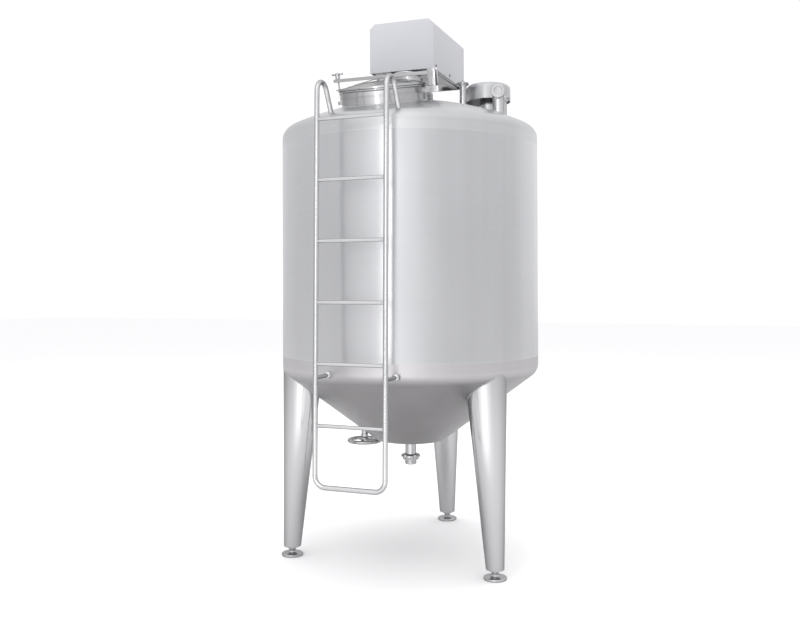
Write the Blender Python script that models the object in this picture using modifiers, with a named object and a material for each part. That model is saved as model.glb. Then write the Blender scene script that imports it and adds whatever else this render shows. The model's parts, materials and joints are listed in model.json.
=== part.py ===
"""Stainless process tank on three conical legs, with ladder, manway and drive cover.

Run it with: blender --background --python part.py, or from Blender's text editor.
Units are metres. +Z is up, the floor is z = 0 and the ladder faces -Y. Everything is modelled
round the tank's own upright axis, which TANK_AXIS_Y then sets back from the origin, so that the
origin lies in the middle of the floor that the tank and its ladder take up.
"""

import math

import bmesh
import bpy
from mathutils import Matrix, Vector

TANK_AXIS_Y = 0.065

# Fits between neighbouring pieces
GAP = 0.0003
PIN_CLEARANCE = 0.0003
CUT_OVERRUN = 0.02
# How far a pipe or a pad runs on into the vessel before the vessel trims it
ROOF_OVERRUN_Z = 2.365
CONE_OVERRUN_Z = 0.762
SAME_PLACE = 0.000001

# Vessel: a straight shell between a dished top and a coned bottom, all of rolled sheet
SHELL_RADIUS = 0.72
SHEET = 0.006
SHELL_STEPS = 64
STRAIGHT_FLANGE = 0.05
SHELL_TOP_Z = 2.315
SHELL_BOTTOM_Z = 1.062
TOP_KNUCKLE = 0.065
TOP_SLOPE = math.radians(25)
CONE_KNUCKLE = 0.08
CONE_SLOPE = math.radians(37)
CONE_FLOOR_Z = 0.625
CONE_FLOOR_ROUND = 0.03
SHAFT_HOLE = 0.06

# Legs: cones whose outer side stands upright, flush with the shell
LEG_ANGLES = {"front_right": -30, "front_left": 210, "back": 90}
LEG_OUTER_REACH = 0.7175
LEG_FOOT_RADIUS = 0.0475
LEG_FLARE = 0.063
LEG_BOTTOM_Z = 0.05
LEG_TOP_Z = 1.15
LEG_WALL = 0.005
LEG_SIDES = 32
FOOT_STUD_RADIUS = 0.018
FOOT_PAD_RADIUS = 0.0595
FOOT_PAD_HEIGHT = 0.014
FOOT_PAD_EDGE = 0.004
FOOT_COLLAR_WIDTH = 0.009
FOOT_COLLAR_HEIGHTS = (0.008, 0.006)

# Ladder: two rails joined by a bend at the bottom, hooked over the shoulder at the top
LADDER_HALF_WIDTH = 0.184
RAIL_RADIUS = 0.0125
RAIL_Y_AT_TOP = -0.816
RAIL_LEAN = 0.0174
TOP_RUNG_Z = 2.315
RUNG_SPACING = 0.3
RUNG_COUNT = 6
RUNG_RADIUS = 0.0095
HOOK_BEND = 0.055
HOOK_SPRING_Z = 2.455
HOOK_SLANT = math.radians(28.7)
HOOK_DROP = 0.16
RAIL_JOINT_Z = 0.575
BOTTOM_BEND = 0.055
BOTTOM_RAIL_Z = 0.517
STANDOFF_Z = 1.047
STANDOFF_RADIUS = 0.0095
STANDOFF_PAD_RADIUS = 0.019
STANDOFF_PAD_Y = -0.715
STANDOFF_REACH = 0.1

# Manway: a collar set square to the dished roof, with a dished lid hung from a crossbar. It is built
# upright round the middle of its rim, and the whole of it is then tilted forwards with the roof.
MANWAY_Y = -0.401
MANWAY_TILT = math.radians(13.8)
COLLAR_RADIUS = 0.225
COLLAR_WALL = 0.004
COLLAR_TOP_Z = 2.544
COLLAR_RIM_RADIUS = 0.238
COLLAR_RIM_DEPTH = 0.01
COLLAR_FOOT_Z = 2.335
MANWAY_HOLE = 0.2195
MANWAY_STEPS = 40
LID_RADIUS = 0.24
LID_EDGE = 0.012
LID_SHEET = 0.004
LID_DISH_RADIUS = 0.216
LID_RISE = 0.026
LID_BOSS_RADIUS = 0.03
LID_EAR_REACH = 0.028
LID_EAR_HALF_WIDTH = 0.015
LID_EAR_INSET = 0.002
BAR_Z = 2.5997
BAR_HEIGHT = 0.018
BAR_HALF_WIDTH = 0.013
BAR_LEFT_X = -0.278
BAR_RIGHT_X = 0.293
FORK_SLOT_LENGTH = 0.03
FORK_SLOT_HALF_WIDTH = 0.0065
HINGE_X = 0.279
HINGE_PIN_RADIUS = 0.006
HINGE_PIN_HEAD = 0.004
EAR_WIDTH = 0.042
EAR_THICKNESS = 0.008
EAR_INNER_OFFSET = 0.0185
EAR_TOP_Z = 2.622
EAR_ROOT = 0.005
BRACKET_TOP_Z = 2.53
BRACKET_DEPTH = 0.032
BRACKET_HALF_WIDTH = 0.034
BRACKET_RIGHT_X = 0.317
COLLAR_OVERLAP = 0.01
LUG_REACH = 0.042
LUG_HALF_WIDTH = 0.014
LUG_HEIGHT = 0.02
LUG_CLEARANCE = 0.002
BOLT_FOOT = (-0.2497, 2.4936)
BOLT_TIP = (-0.2576, 2.6428)
BOLT_RADIUS = 0.005
KNOB_SEAT = 0.1166
KNOB_HUB_RADIUS = 0.013
KNOB_HUB_HEIGHT = 0.03
KNOB_ARMS = 4
KNOB_ARM_ROOT = (0.008, 0.0165)
KNOB_ARM_REACH = 0.027
KNOB_ARM_RADIUS = 0.0042
KNOB_ARM_RISE = 0.008
KNOB_BALL_RADIUS = 0.0065
YOKE_THICKNESS = 0.004
YOKE_HALF_WIDTH = 0.01
YOKE_FOOT_X = 0.137
YOKE_FOOT_LENGTH = 0.022
YOKE_SHOULDER_X = 0.052
YOKE_SEAT = 0.0004

# Drive: a neck on the roof, a stool on the neck, and a cover on a tray
NECK_RADIUS = 0.085
NECK_WALL = 0.006
NECK_FLANGE_RADIUS = 0.135
NECK_FLANGE_Z = 2.572
FLANGE_THICKNESS = 0.015
STOOL_RADIUS = 0.075
STOOL_BORE = 0.05
STOOL_TOP_RADIUS = 0.125
COVER_HALF_WIDTH = 0.19
COVER_FRONT_Y = -0.131
COVER_BACK_Y = 0.449
COVER_BOTTOM_Z = 2.695
COVER_TOP_Z = 2.973
COVER_CHAMFER = 0.028
COVER_SHEET = 0.003
TRAY_BOTTOM_Z = 2.7
TRAY_HEIGHT = 0.036
TRAY_SHEET = 0.005

# Nozzles on the roof, each at its place beside the drive
WASH_PIPE_AT = (0.31, 0.03)
WASH_PIPE_RADIUS = 0.019
WASH_PIPE_TOP_Z = 2.622
WASH_PIPE_WALL = 0.002
WASH_CLAMP_RADIUS = 0.033
# The clamp cap's outline: (radius, height above its seat)
WASH_CAP_LINE = (
    (0, 0.028), (0.008, 0.024), (0.011, 0.017), (0.027, 0.014), (WASH_CLAMP_RADIUS, 0.009),
)
# The pipe's flared lip: (radius beyond the pipe's, height below its top)
WASH_LIP_LINE = ((0.006, 0), (0.006, 0.004), (0, 0.009))
VENT_AT = (0.415, 0.18)
VENT_NECK_RADIUS = 0.045
VENT_HOOD_RADIUS = 0.127
VENT_HOOD_BOTTOM_Z = 2.545
VENT_HOOD_TOP_Z = 2.642
VENT_HOOD_ROUND = 0.03
VENT_SHEET = 0.003
# The neck's windows under the hood: half sizes across, and heights above the hood's lower edge
VENT_WINDOW = (0.1, 0.018)
VENT_WINDOW_HEIGHTS = (0.035, 0.075)
INLET_AT = (0.53, -0.15)
INLET_HEADING = math.radians(12)
INLET_RADIUS = 0.032
INLET_AXIS_Z = 2.519
INLET_BEND = 0.042
INLET_FACE_RADIUS = 0.037
INLET_STRAIGHT = 0.012
INLET_CAP_THICKNESS = 0.016
INLET_RECESS_RADIUS = 0.022
INLET_RECESS_START = 0.011
GAUGE_AT = (0.575, -0.075)
GAUGE_PIPE_RADIUS = 0.0125
GAUGE_CLAMP_RADIUS = 0.022
GAUGE_TOP_Z = 2.518
# The gauge clamp's outline: (radius, height below its top)
GAUGE_CLAMP_LINE = (
    (0, 0), (0.017, 0), (GAUGE_CLAMP_RADIUS, 0.007), (GAUGE_CLAMP_RADIUS, 0.026), (0.017, 0.032),
    (GAUGE_PIPE_RADIUS, 0.034),
)

# Bottom outlet and drain valve
OUTLET_RADIUS = 0.031
OUTLET_BORE = 0.027
OUTLET_END_Z = 0.482
OUTLET_LIP = (0.002, 0.003)
NUT_RADIUS = 0.055
NUT_BEVEL = 0.007
NUT_TOP_Z = 0.54
NUT_BOTTOM_Z = 0.508
NUT_SLOTS = 6
NUT_SLOT_RADIUS = 0.007
NUT_SLOT_OVERRUN = 0.01
DRAIN_AT = (-0.27, -0.035)
DRAIN_STEM_RADIUS = 0.018
DRAIN_SHOULDER_Z = 0.622
SPINDLE_RADIUS = 0.007
SPINDLE_NUT_WIDTH = 0.005
SPINDLE_NUT_HEIGHT = 0.01
WHEEL_RING_RADIUS = 0.0895
WHEEL_TUBE_RADIUS = 0.0105
WHEEL_Z = 0.605
WHEEL_HUB_RADIUS = 0.022
WHEEL_HUB_HEIGHT = 0.028
WHEEL_SPOKES = 3
WHEEL_SPOKE_RADIUS = 0.006
WHEEL_RING_SIDES = 8

PARTS = "vertical_tank"
CUTTERS = "cutters"


def clear_scene():
    for item in list(bpy.data.objects):
        bpy.data.objects.remove(item, do_unlink=True)


def new_collection(name, hidden=False):
    group = bpy.data.collections.new(name)
    bpy.context.scene.collection.children.link(group)
    group.hide_render = hidden
    return group


def material(name, colour, roughness, metallic):
    made = bpy.data.materials.new(name)
    made.use_nodes = True
    shader = made.node_tree.nodes["Principled BSDF"]
    shader.inputs["Base Color"].default_value = (*colour, 1)
    shader.inputs["Roughness"].default_value = roughness
    shader.inputs["Metallic"].default_value = metallic
    made.diffuse_color = (*colour, 1)
    return made


def sheet_steel(name):
    return material(name, (0.71, 0.72, 0.73), 0.32, 1.0)


def polished_steel(name):
    return material(name, (0.80, 0.80, 0.81), 0.16, 1.0)


def painted_steel(name):
    return material(name, (0.66, 0.68, 0.70), 0.45, 0.0)


def place(name, data, collection, finish=None):
    item = bpy.data.objects.new(name, data)
    bpy.data.collections[collection].objects.link(item)
    if finish:
        data.materials.append(finish(name))
    if collection == CUTTERS:
        item.hide_render = True
        item.display_type = "WIRE"
    return item


def piece_from_bmesh(name, shape, finish=None, collection=PARTS):
    mesh = bpy.data.meshes.new(name)
    shape.to_mesh(mesh)
    shape.free()
    return place(name, mesh, collection, finish)


def shade(item, angle=35):
    item.data.shade_smooth()
    item.data.set_sharp_from_angle(angle=math.radians(angle))


def box(name, low, high, finish=None, collection=PARTS):
    low, high = Vector(low), Vector(high)
    shape = bmesh.new()
    bmesh.ops.create_cube(shape, size=1)
    bmesh.ops.scale(shape, vec=high - low, verts=shape.verts)
    bmesh.ops.translate(shape, vec=(low + high) / 2, verts=shape.verts)
    return piece_from_bmesh(name, shape, finish, collection)


def rod(name, start, end, radius, sides=20, finish=None, collection=PARTS):
    start, end = Vector(start), Vector(end)
    along = end - start
    turn = Vector((0, 0, 1)).rotation_difference(along).to_matrix().to_4x4()
    shape = bmesh.new()
    bmesh.ops.create_cone(
        shape, cap_ends=True, segments=sides, radius1=radius, radius2=radius, depth=along.length,
        matrix=Matrix.Translation((start + end) / 2) @ turn,
    )
    item = piece_from_bmesh(name, shape, finish, collection)
    shade(item)
    return item


def turned(name, profile, steps, at=(0, 0), closed=True, finish=None, collection=PARTS):
    """Turn a profile of (radius, z) points, listed down its outer side, round an upright axis."""
    mesh = bpy.data.meshes.new(name)
    count = len(profile)
    edges = [(i, i + 1) for i in range(count - 1)]
    on_axis = profile[0][0] == 0 and profile[-1][0] == 0
    if closed and not on_axis:
        edges.append((count - 1, 0))
    mesh.from_pydata([(r, 0, z) for r, z in profile], edges, [])
    item = place(name, mesh, collection, finish)
    item.location = (*at, 0)
    turn = item.modifiers.new("Turn", "SCREW")
    turn.steps = steps
    turn.render_steps = steps
    turn.use_merge_vertices = True
    turn.merge_threshold = 0.00005
    turn.use_smooth_shade = True
    return item


def thicken_inwards(item, thickness):
    wall = item.modifiers.new("Sheet", "SOLIDIFY")
    wall.thickness = thickness
    wall.offset = -1
    wall.use_even_offset = True


def cut(item, tool):
    step = item.modifiers.new("Cut " + tool.name, "BOOLEAN")
    step.operation = "DIFFERENCE"
    step.object = tool


def fuse(item, tool):
    step = item.modifiers.new("Join " + tool.name, "BOOLEAN")
    step.operation = "UNION"
    step.object = tool


def strap(name, points, half_width, y, thickness, finish):
    """A bent flat strap: its lower side runs through the (x, z) points, its width is along Y."""
    mesh = bpy.data.meshes.new(name)
    count = len(points)
    near = [(x, y - half_width, z) for x, z in points]
    far = [(x, y + half_width, z) for x, z in points]
    quads = [(i, i + 1, count + i + 1, count + i) for i in range(count - 1)]
    mesh.from_pydata(near + far, [], quads)
    item = place(name, mesh, PARTS, finish)
    wall = item.modifiers.new("Thickness", "SOLIDIFY")
    wall.thickness = thickness
    wall.offset = 1
    wall.use_even_offset = True
    return item


def tube(name, points, radius, finish=None, collection=PARTS, resolution=3):
    """A round tube along points: a curve with filled caps, made a mesh with its caps welded."""
    curve = bpy.data.curves.new(name, "CURVE")
    curve.dimensions = "3D"
    curve.bevel_depth = radius
    curve.bevel_resolution = resolution
    curve.use_fill_caps = True
    line = curve.splines.new("POLY")
    line.points.add(len(points) - 1)
    for point, target in zip(line.points, points):
        point.co = (*target, 1)
    guide = place(name + "_guide", curve, CUTTERS)
    depsgraph = bpy.context.evaluated_depsgraph_get()
    mesh = bpy.data.meshes.new_from_object(guide.evaluated_get(depsgraph))
    shape = bmesh.new()
    shape.from_mesh(mesh)
    bmesh.ops.remove_doubles(shape, verts=shape.verts, dist=0.00005)
    bmesh.ops.recalc_face_normals(shape, faces=shape.faces)
    shape.to_mesh(mesh)
    shape.free()
    mesh.name = name
    item = place(name, mesh, collection, finish)
    item.matrix_world = guide.matrix_world
    bpy.data.objects.remove(guide)
    bpy.data.curves.remove(curve)
    shade(item)
    return item


def arc(centre, radius, start, end, count):
    """Points on an arc in a plane, from start to end in radians."""
    turns = [start + (end - start) * i / (count - 1) for i in range(count)]
    return [(centre[0] + radius * math.cos(t), centre[1] + radius * math.sin(t)) for t in turns]


def top_outline(grow=0.0, ball_points=6, knuckle_points=4):
    """The dished top's outer side, from the shaft hole to the shell's top, moved out by grow."""
    knuckle_centre = (SHELL_RADIUS - TOP_KNUCKLE, SHELL_TOP_Z)
    meet_radius = knuckle_centre[0] + TOP_KNUCKLE * math.sin(TOP_SLOPE)
    meet_z = knuckle_centre[1] + TOP_KNUCKLE * math.cos(TOP_SLOPE)
    ball = meet_radius / math.sin(TOP_SLOPE)
    ball_centre = (0, meet_z - ball * math.cos(TOP_SLOPE))
    start = math.pi / 2 - math.asin(SHAFT_HOLE / ball)
    crown = arc(ball_centre, ball + grow, start, math.pi / 2 - TOP_SLOPE, ball_points)
    bend = arc(knuckle_centre, TOP_KNUCKLE + grow, math.pi / 2 - TOP_SLOPE, 0, knuckle_points)
    return crown[:-1] + bend


def bottom_outline(grow=0.0, inner_radius=OUTLET_BORE, knuckle_points=4, round_points=3):
    """The coned bottom's outer side, from the shell's bottom to inner_radius, moved out by grow."""
    turn = CONE_SLOPE - math.pi / 2
    knuckle_centre = (SHELL_RADIUS - CONE_KNUCKLE, SHELL_BOTTOM_Z)
    side = (math.cos(turn), math.sin(turn))
    line = side[0] * knuckle_centre[0] + side[1] * knuckle_centre[1] + CONE_KNUCKLE
    round_z = CONE_FLOOR_Z + CONE_FLOOR_ROUND
    round_x = (line - CONE_FLOOR_ROUND - side[1] * round_z) / side[0]
    bend = arc(knuckle_centre, CONE_KNUCKLE + grow, 0, turn, knuckle_points)
    corner = arc((round_x, round_z), CONE_FLOOR_ROUND + grow, turn, -math.pi / 2, round_points)
    return bend + corner + [(inner_radius, CONE_FLOOR_Z - grow)]


def vessel_cutter():
    """The whole vessel as one solid, a gap larger than its outer side."""
    top = top_outline(GAP)
    outline = [(0, top[0][1])] + top + bottom_outline(GAP, inner_radius=0)
    return turned("vessel_cutter", outline, SHELL_STEPS, collection=CUTTERS)


def build_vessel():
    top_seam = SHELL_TOP_Z - STRAIGHT_FLANGE
    bottom_seam = SHELL_BOTTOM_Z + STRAIGHT_FLANGE
    shell = turned(
        "shell", [(SHELL_RADIUS, top_seam - GAP), (SHELL_RADIUS, bottom_seam + GAP)],
        SHELL_STEPS, closed=False, finish=sheet_steel,
    )
    thicken_inwards(shell, SHEET)
    top = turned(
        "top_head", top_outline() + [(SHELL_RADIUS, top_seam)],
        SHELL_STEPS, closed=False, finish=sheet_steel,
    )
    thicken_inwards(top, SHEET)
    manway_hole = rod(
        "manway_hole", (0, MANWAY_Y, SHELL_TOP_Z), (0, MANWAY_Y, COLLAR_TOP_Z + CUT_OVERRUN),
        MANWAY_HOLE, MANWAY_STEPS, collection=CUTTERS,
    )
    cut(top, manway_hole)
    bottom = turned(
        "bottom_cone", [(SHELL_RADIUS, bottom_seam)] + bottom_outline(),
        SHELL_STEPS, closed=False, finish=sheet_steel,
    )
    thicken_inwards(bottom, SHEET)


def leg_solid(name, side_radius, bottom_z, heading, finish=None, collection=PARTS, inset=0.0):
    """A cone with level circles whose outer side is upright; heading is its place on the tank."""
    height = LEG_TOP_Z - bottom_z
    low_radius = side_radius + LEG_FLARE * (bottom_z - LEG_BOTTOM_Z)
    high_radius = side_radius + LEG_FLARE * (LEG_TOP_Z - LEG_BOTTOM_Z)
    reach = LEG_OUTER_REACH - inset
    shape = bmesh.new()
    bmesh.ops.create_cone(
        shape, cap_ends=True, segments=LEG_SIDES, radius1=low_radius, radius2=high_radius,
        depth=height, matrix=Matrix.Translation((0, 0, bottom_z + height / 2)),
    )
    for corner in shape.verts:
        ring_radius = low_radius if corner.co.z < bottom_z + height / 2 else high_radius
        corner.co.x += reach - ring_radius
    bmesh.ops.rotate(shape, cent=(0, 0, 0), matrix=Matrix.Rotation(heading, 3, "Z"), verts=shape.verts)
    return piece_from_bmesh(name, shape, finish, collection)


def build_legs(vessel):
    for side, degrees in LEG_ANGLES.items():
        heading = math.radians(degrees)
        leg = leg_solid("leg_" + side, LEG_FOOT_RADIUS, LEG_BOTTOM_Z, heading, sheet_steel)
        hollow = leg_solid(
            "leg_hollow_" + side, LEG_FOOT_RADIUS - LEG_WALL, LEG_BOTTOM_Z + LEG_WALL, heading,
            collection=CUTTERS, inset=LEG_WALL,
        )
        cut(leg, hollow)
        cut(leg, vessel)
        shade(leg)
        centre = LEG_OUTER_REACH - LEG_FOOT_RADIUS
        foot_top = LEG_BOTTOM_Z - GAP
        foot_profile = [
            (0, foot_top), (FOOT_STUD_RADIUS, foot_top),
            (FOOT_STUD_RADIUS, FOOT_PAD_HEIGHT + FOOT_COLLAR_HEIGHTS[0]),
            (FOOT_STUD_RADIUS + FOOT_COLLAR_WIDTH, FOOT_PAD_HEIGHT + FOOT_COLLAR_HEIGHTS[1]),
            (FOOT_PAD_RADIUS - FOOT_PAD_EDGE, FOOT_PAD_HEIGHT),
            (FOOT_PAD_RADIUS, FOOT_PAD_HEIGHT - FOOT_PAD_EDGE),
            (FOOT_PAD_RADIUS, 0), (0, 0),
        ]
        turned(
            "foot_" + side, foot_profile, 32,
            at=(centre * math.cos(heading), centre * math.sin(heading)), finish=polished_steel,
        )


def rail_y(z):
    """The rails lean: their foot stands further out than their head."""
    return RAIL_Y_AT_TOP - RAIL_LEAN * (TOP_RUNG_Z - z)


def rail_path(x):
    """One rail from its joint with the bottom bend, over the hook and down to the roof."""
    spring_y = rail_y(HOOK_SPRING_Z)
    centre = (spring_y + HOOK_BEND, HOOK_SPRING_Z)
    hook = arc(centre, HOOK_BEND, math.pi, HOOK_SLANT, 11)
    end_y = hook[-1][0] + HOOK_DROP * math.sin(HOOK_SLANT)
    end_z = hook[-1][1] - HOOK_DROP * math.cos(HOOK_SLANT)
    side = [(rail_y(RAIL_JOINT_Z + GAP), RAIL_JOINT_Z + GAP)] + hook + [(end_y, end_z)]
    return [(x, y, z) for y, z in side]


def bottom_bend_path():
    across = LADDER_HALF_WIDTH - BOTTOM_BEND
    low = BOTTOM_RAIL_Z + BOTTOM_BEND
    right = arc((across, low), BOTTOM_BEND, 0, -math.pi / 2, 7)
    left = arc((-across, low), BOTTOM_BEND, -math.pi / 2, -math.pi, 7)
    ends = (LADDER_HALF_WIDTH, RAIL_JOINT_Z), (-LADDER_HALF_WIDTH, RAIL_JOINT_Z)
    front = [ends[0]] + right + left + [ends[1]]
    return [(x, rail_y(z), z) for x, z in front]


def build_ladder(vessel):
    rail_cutters = []
    for side, x in (("left", -LADDER_HALF_WIDTH), ("right", LADDER_HALF_WIDTH)):
        rail = tube("ladder_rail_" + side, rail_path(x), RAIL_RADIUS, polished_steel)
        cut(rail, vessel)
        low, high = RAIL_JOINT_Z, TOP_RUNG_Z + RUNG_SPACING / 2
        rail_cutters.append(rod(
            "rail_cutter_" + side, (x, rail_y(low), low), (x, rail_y(high), high),
            RAIL_RADIUS + GAP, 24, collection=CUTTERS,
        ))
        standoff_y = rail_y(STANDOFF_Z)
        standoff = rod(
            "ladder_standoff_" + side, (x, standoff_y, STANDOFF_Z),
            (x, STANDOFF_PAD_Y + STANDOFF_REACH, STANDOFF_Z), STANDOFF_RADIUS, 16, polished_steel,
        )
        pad = rod(
            "standoff_pad_" + side, (x, STANDOFF_PAD_Y, STANDOFF_Z),
            (x, STANDOFF_PAD_Y + STANDOFF_REACH, STANDOFF_Z), STANDOFF_PAD_RADIUS, 24, collection=CUTTERS,
        )
        fuse(standoff, pad)
        cut(standoff, vessel)
        cut(standoff, rail_cutters[-1])
    tube("ladder_bottom_bend", bottom_bend_path(), RAIL_RADIUS, polished_steel)
    for number in range(RUNG_COUNT):
        z = TOP_RUNG_Z - RUNG_SPACING * (RUNG_COUNT - 1 - number)
        y = rail_y(z)
        rung = rod(
            f"ladder_rung_{number + 1}", (-LADDER_HALF_WIDTH, y, z), (LADDER_HALF_WIDTH, y, z),
            RUNG_RADIUS, 16, polished_steel,
        )
        for tool in rail_cutters:
            cut(rung, tool)


def manway_box(name, low, high, finish=None, collection=PARTS):
    """A box whose y is measured from the manway's middle."""
    low_x, low_y, low_z = low
    high_x, high_y, high_z = high
    return box(
        name, (low_x, MANWAY_Y + low_y, low_z), (high_x, MANWAY_Y + high_y, high_z), finish, collection,
    )


def hinge_rod(name, half_length, radius, finish=None, collection=PARTS):
    """A rod along the lid's hinge."""
    return rod(
        name, (HINGE_X, MANWAY_Y - half_length, BAR_Z), (HINGE_X, MANWAY_Y + half_length, BAR_Z),
        radius, 24, finish, collection,
    )


def build_manway(vessel):
    inner = COLLAR_RADIUS - COLLAR_WALL
    rim_bottom = COLLAR_TOP_Z - COLLAR_RIM_DEPTH
    collar = turned(
        "manway_collar",
        [
            (inner, COLLAR_TOP_Z), (COLLAR_RIM_RADIUS, COLLAR_TOP_Z), (COLLAR_RIM_RADIUS, rim_bottom),
            (COLLAR_RADIUS, rim_bottom), (COLLAR_RADIUS, COLLAR_FOOT_Z), (inner, COLLAR_FOOT_Z),
        ],
        MANWAY_STEPS, at=(0, MANWAY_Y), finish=sheet_steel,
    )
    cut(collar, vessel)
    collar_cutter = rod(
        "collar_cutter", (0, MANWAY_Y, COLLAR_FOOT_Z), (0, MANWAY_Y, COLLAR_TOP_Z),
        COLLAR_RADIUS + GAP, MANWAY_STEPS, collection=CUTTERS,
    )
    build_lid()
    build_crossbar()
    build_hinge(collar_cutter)
    build_hold_down(collar_cutter)


def lid_ball():
    """The radius of the lid's dish, and the height of its middle."""
    radius = (LID_DISH_RADIUS ** 2 + LID_RISE ** 2) / (2 * LID_RISE)
    crown_z = COLLAR_TOP_Z + GAP + LID_EDGE + LID_RISE
    return radius, crown_z - radius


def build_lid():
    lid_bottom = COLLAR_TOP_Z + GAP
    lid_top = lid_bottom + LID_EDGE
    yoke_bottom = BAR_Z - BAR_HEIGHT / 2 - GAP - YOKE_THICKNESS
    boss_top = yoke_bottom - GAP
    dish, dish_z = lid_ball()
    edge_turn = math.asin(LID_DISH_RADIUS / dish)
    boss_turn = math.asin(LID_BOSS_RADIUS / dish)
    upright = math.pi / 2
    crown = arc((0, dish_z), dish, upright - boss_turn, upright - edge_turn, 5)
    hollow = arc((0, dish_z), dish - LID_SHEET, upright - edge_turn, upright, 5)
    hollow[-1] = (0, hollow[-1][1])
    lid = turned(
        "manway_lid",
        [(0, boss_top), (LID_BOSS_RADIUS, boss_top)] + crown
        + [(LID_RADIUS, lid_top), (LID_RADIUS, lid_bottom), (LID_DISH_RADIUS, lid_bottom)] + hollow,
        MANWAY_STEPS, at=(0, MANWAY_Y), finish=polished_steel,
    )
    fuse(lid, manway_box(
        "lid_ear", (-LID_RADIUS - LID_EAR_REACH, -LID_EAR_HALF_WIDTH, lid_bottom + LID_EAR_INSET),
        (-LID_RADIUS + COLLAR_OVERLAP, LID_EAR_HALF_WIDTH, lid_top - LID_EAR_INSET), collection=CUTTERS,
    ))
    foot, tip = bolt_line()
    cut(lid, rod("ear_hole", foot, tip, BOLT_RADIUS + GAP, 16, collection=CUTTERS))

    shoulder = [
        (x, dish_z + math.sqrt(dish ** 2 - x ** 2) + YOKE_SEAT)
        for x in (YOKE_FOOT_X + YOKE_FOOT_LENGTH, YOKE_FOOT_X)
    ]
    shoulder.append((YOKE_SHOULDER_X, yoke_bottom))
    left = [(-x, z) for x, z in shoulder]
    strap("lid_yoke", left + shoulder[::-1], YOKE_HALF_WIDTH, MANWAY_Y, YOKE_THICKNESS, polished_steel)


def build_crossbar():
    bar = manway_box(
        "lid_crossbar", (BAR_LEFT_X, -BAR_HALF_WIDTH, BAR_Z - BAR_HEIGHT / 2),
        (BAR_RIGHT_X, BAR_HALF_WIDTH, BAR_Z + BAR_HEIGHT / 2), sheet_steel,
    )
    cut(bar, hinge_rod(
        "bar_pin_hole", BAR_HALF_WIDTH + CUT_OVERRUN, HINGE_PIN_RADIUS + PIN_CLEARANCE, collection=CUTTERS,
    ))
    cut(bar, manway_box(
        "bar_fork_slot", (BAR_LEFT_X - CUT_OVERRUN, -FORK_SLOT_HALF_WIDTH, BAR_Z - CUT_OVERRUN),
        (BAR_LEFT_X + FORK_SLOT_LENGTH, FORK_SLOT_HALF_WIDTH, BAR_Z + CUT_OVERRUN), collection=CUTTERS,
    ))


def build_hinge(collar_cutter):
    bracket = manway_box(
        "hinge_bracket",
        (COLLAR_RADIUS - COLLAR_OVERLAP, -BRACKET_HALF_WIDTH, BRACKET_TOP_Z - BRACKET_DEPTH),
        (BRACKET_RIGHT_X, BRACKET_HALF_WIDTH, BRACKET_TOP_Z), sheet_steel,
    )
    ear_outer_offset = EAR_INNER_OFFSET + EAR_THICKNESS
    for side, low_y in (("near", -ear_outer_offset), ("far", EAR_INNER_OFFSET)):
        fuse(bracket, manway_box(
            f"hinge_ear_{side}", (HINGE_X - EAR_WIDTH / 2, low_y, BRACKET_TOP_Z - EAR_ROOT),
            (HINGE_X + EAR_WIDTH / 2, low_y + EAR_THICKNESS, EAR_TOP_Z), collection=CUTTERS,
        ))
    cut(bracket, hinge_rod(
        "bracket_pin_hole", ear_outer_offset + CUT_OVERRUN, HINGE_PIN_RADIUS + PIN_CLEARANCE,
        collection=CUTTERS,
    ))
    cut(bracket, collar_cutter)
    hinge_rod("hinge_pin", ear_outer_offset + HINGE_PIN_HEAD, HINGE_PIN_RADIUS, polished_steel)


def bolt_line():
    """The hold-down bolt's two ends; it leans a little outwards from its lug on the collar."""
    foot = Vector((BOLT_FOOT[0], MANWAY_Y, BOLT_FOOT[1]))
    tip = Vector((BOLT_TIP[0], MANWAY_Y, BOLT_TIP[1]))
    return foot, tip


def build_hold_down(collar_cutter):
    lug_top = BOLT_FOOT[1] - LUG_CLEARANCE
    lug = manway_box(
        "bolt_lug", (-COLLAR_RADIUS - LUG_REACH, -LUG_HALF_WIDTH, lug_top - LUG_HEIGHT),
        (-COLLAR_RADIUS + COLLAR_OVERLAP, LUG_HALF_WIDTH, lug_top), sheet_steel,
    )
    cut(lug, collar_cutter)
    foot, tip = bolt_line()
    rod("hold_down_bolt", foot, tip, BOLT_RADIUS, 16, polished_steel)

    along = (tip - foot).normalized()
    seat = foot + along * KNOB_SEAT
    top = seat + along * KNOB_HUB_HEIGHT
    knob = rod("star_knob", seat, top, KNOB_HUB_RADIUS, 24, polished_steel)
    across = Vector((0, 1, 0))
    sideways = along.cross(across)
    root_reach, root_rise = KNOB_ARM_ROOT
    for number in range(KNOB_ARMS):
        turn = 2 * math.pi * (number + 0.5) / KNOB_ARMS
        outwards = across * math.cos(turn) + sideways * math.sin(turn)
        arm_root = seat + along * root_rise
        arm_end = arm_root + outwards * KNOB_ARM_REACH + along * KNOB_ARM_RISE
        fuse(knob, rod(
            f"knob_arm_{number}", arm_root + outwards * root_reach, arm_end, KNOB_ARM_RADIUS, 10,
            collection=CUTTERS,
        ))
        ball = bmesh.new()
        bmesh.ops.create_uvsphere(
            ball, u_segments=8, v_segments=6, radius=KNOB_BALL_RADIUS,
            matrix=Matrix.Translation(arm_end),
        )
        fuse(knob, piece_from_bmesh(f"knob_ball_{number}", ball, collection=CUTTERS))
    cut(knob, rod(
        "knob_bore", seat - along * CUT_OVERRUN, top + along * CUT_OVERRUN,
        BOLT_RADIUS + PIN_CLEARANCE, 16, collection=CUTTERS,
    ))


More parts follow.
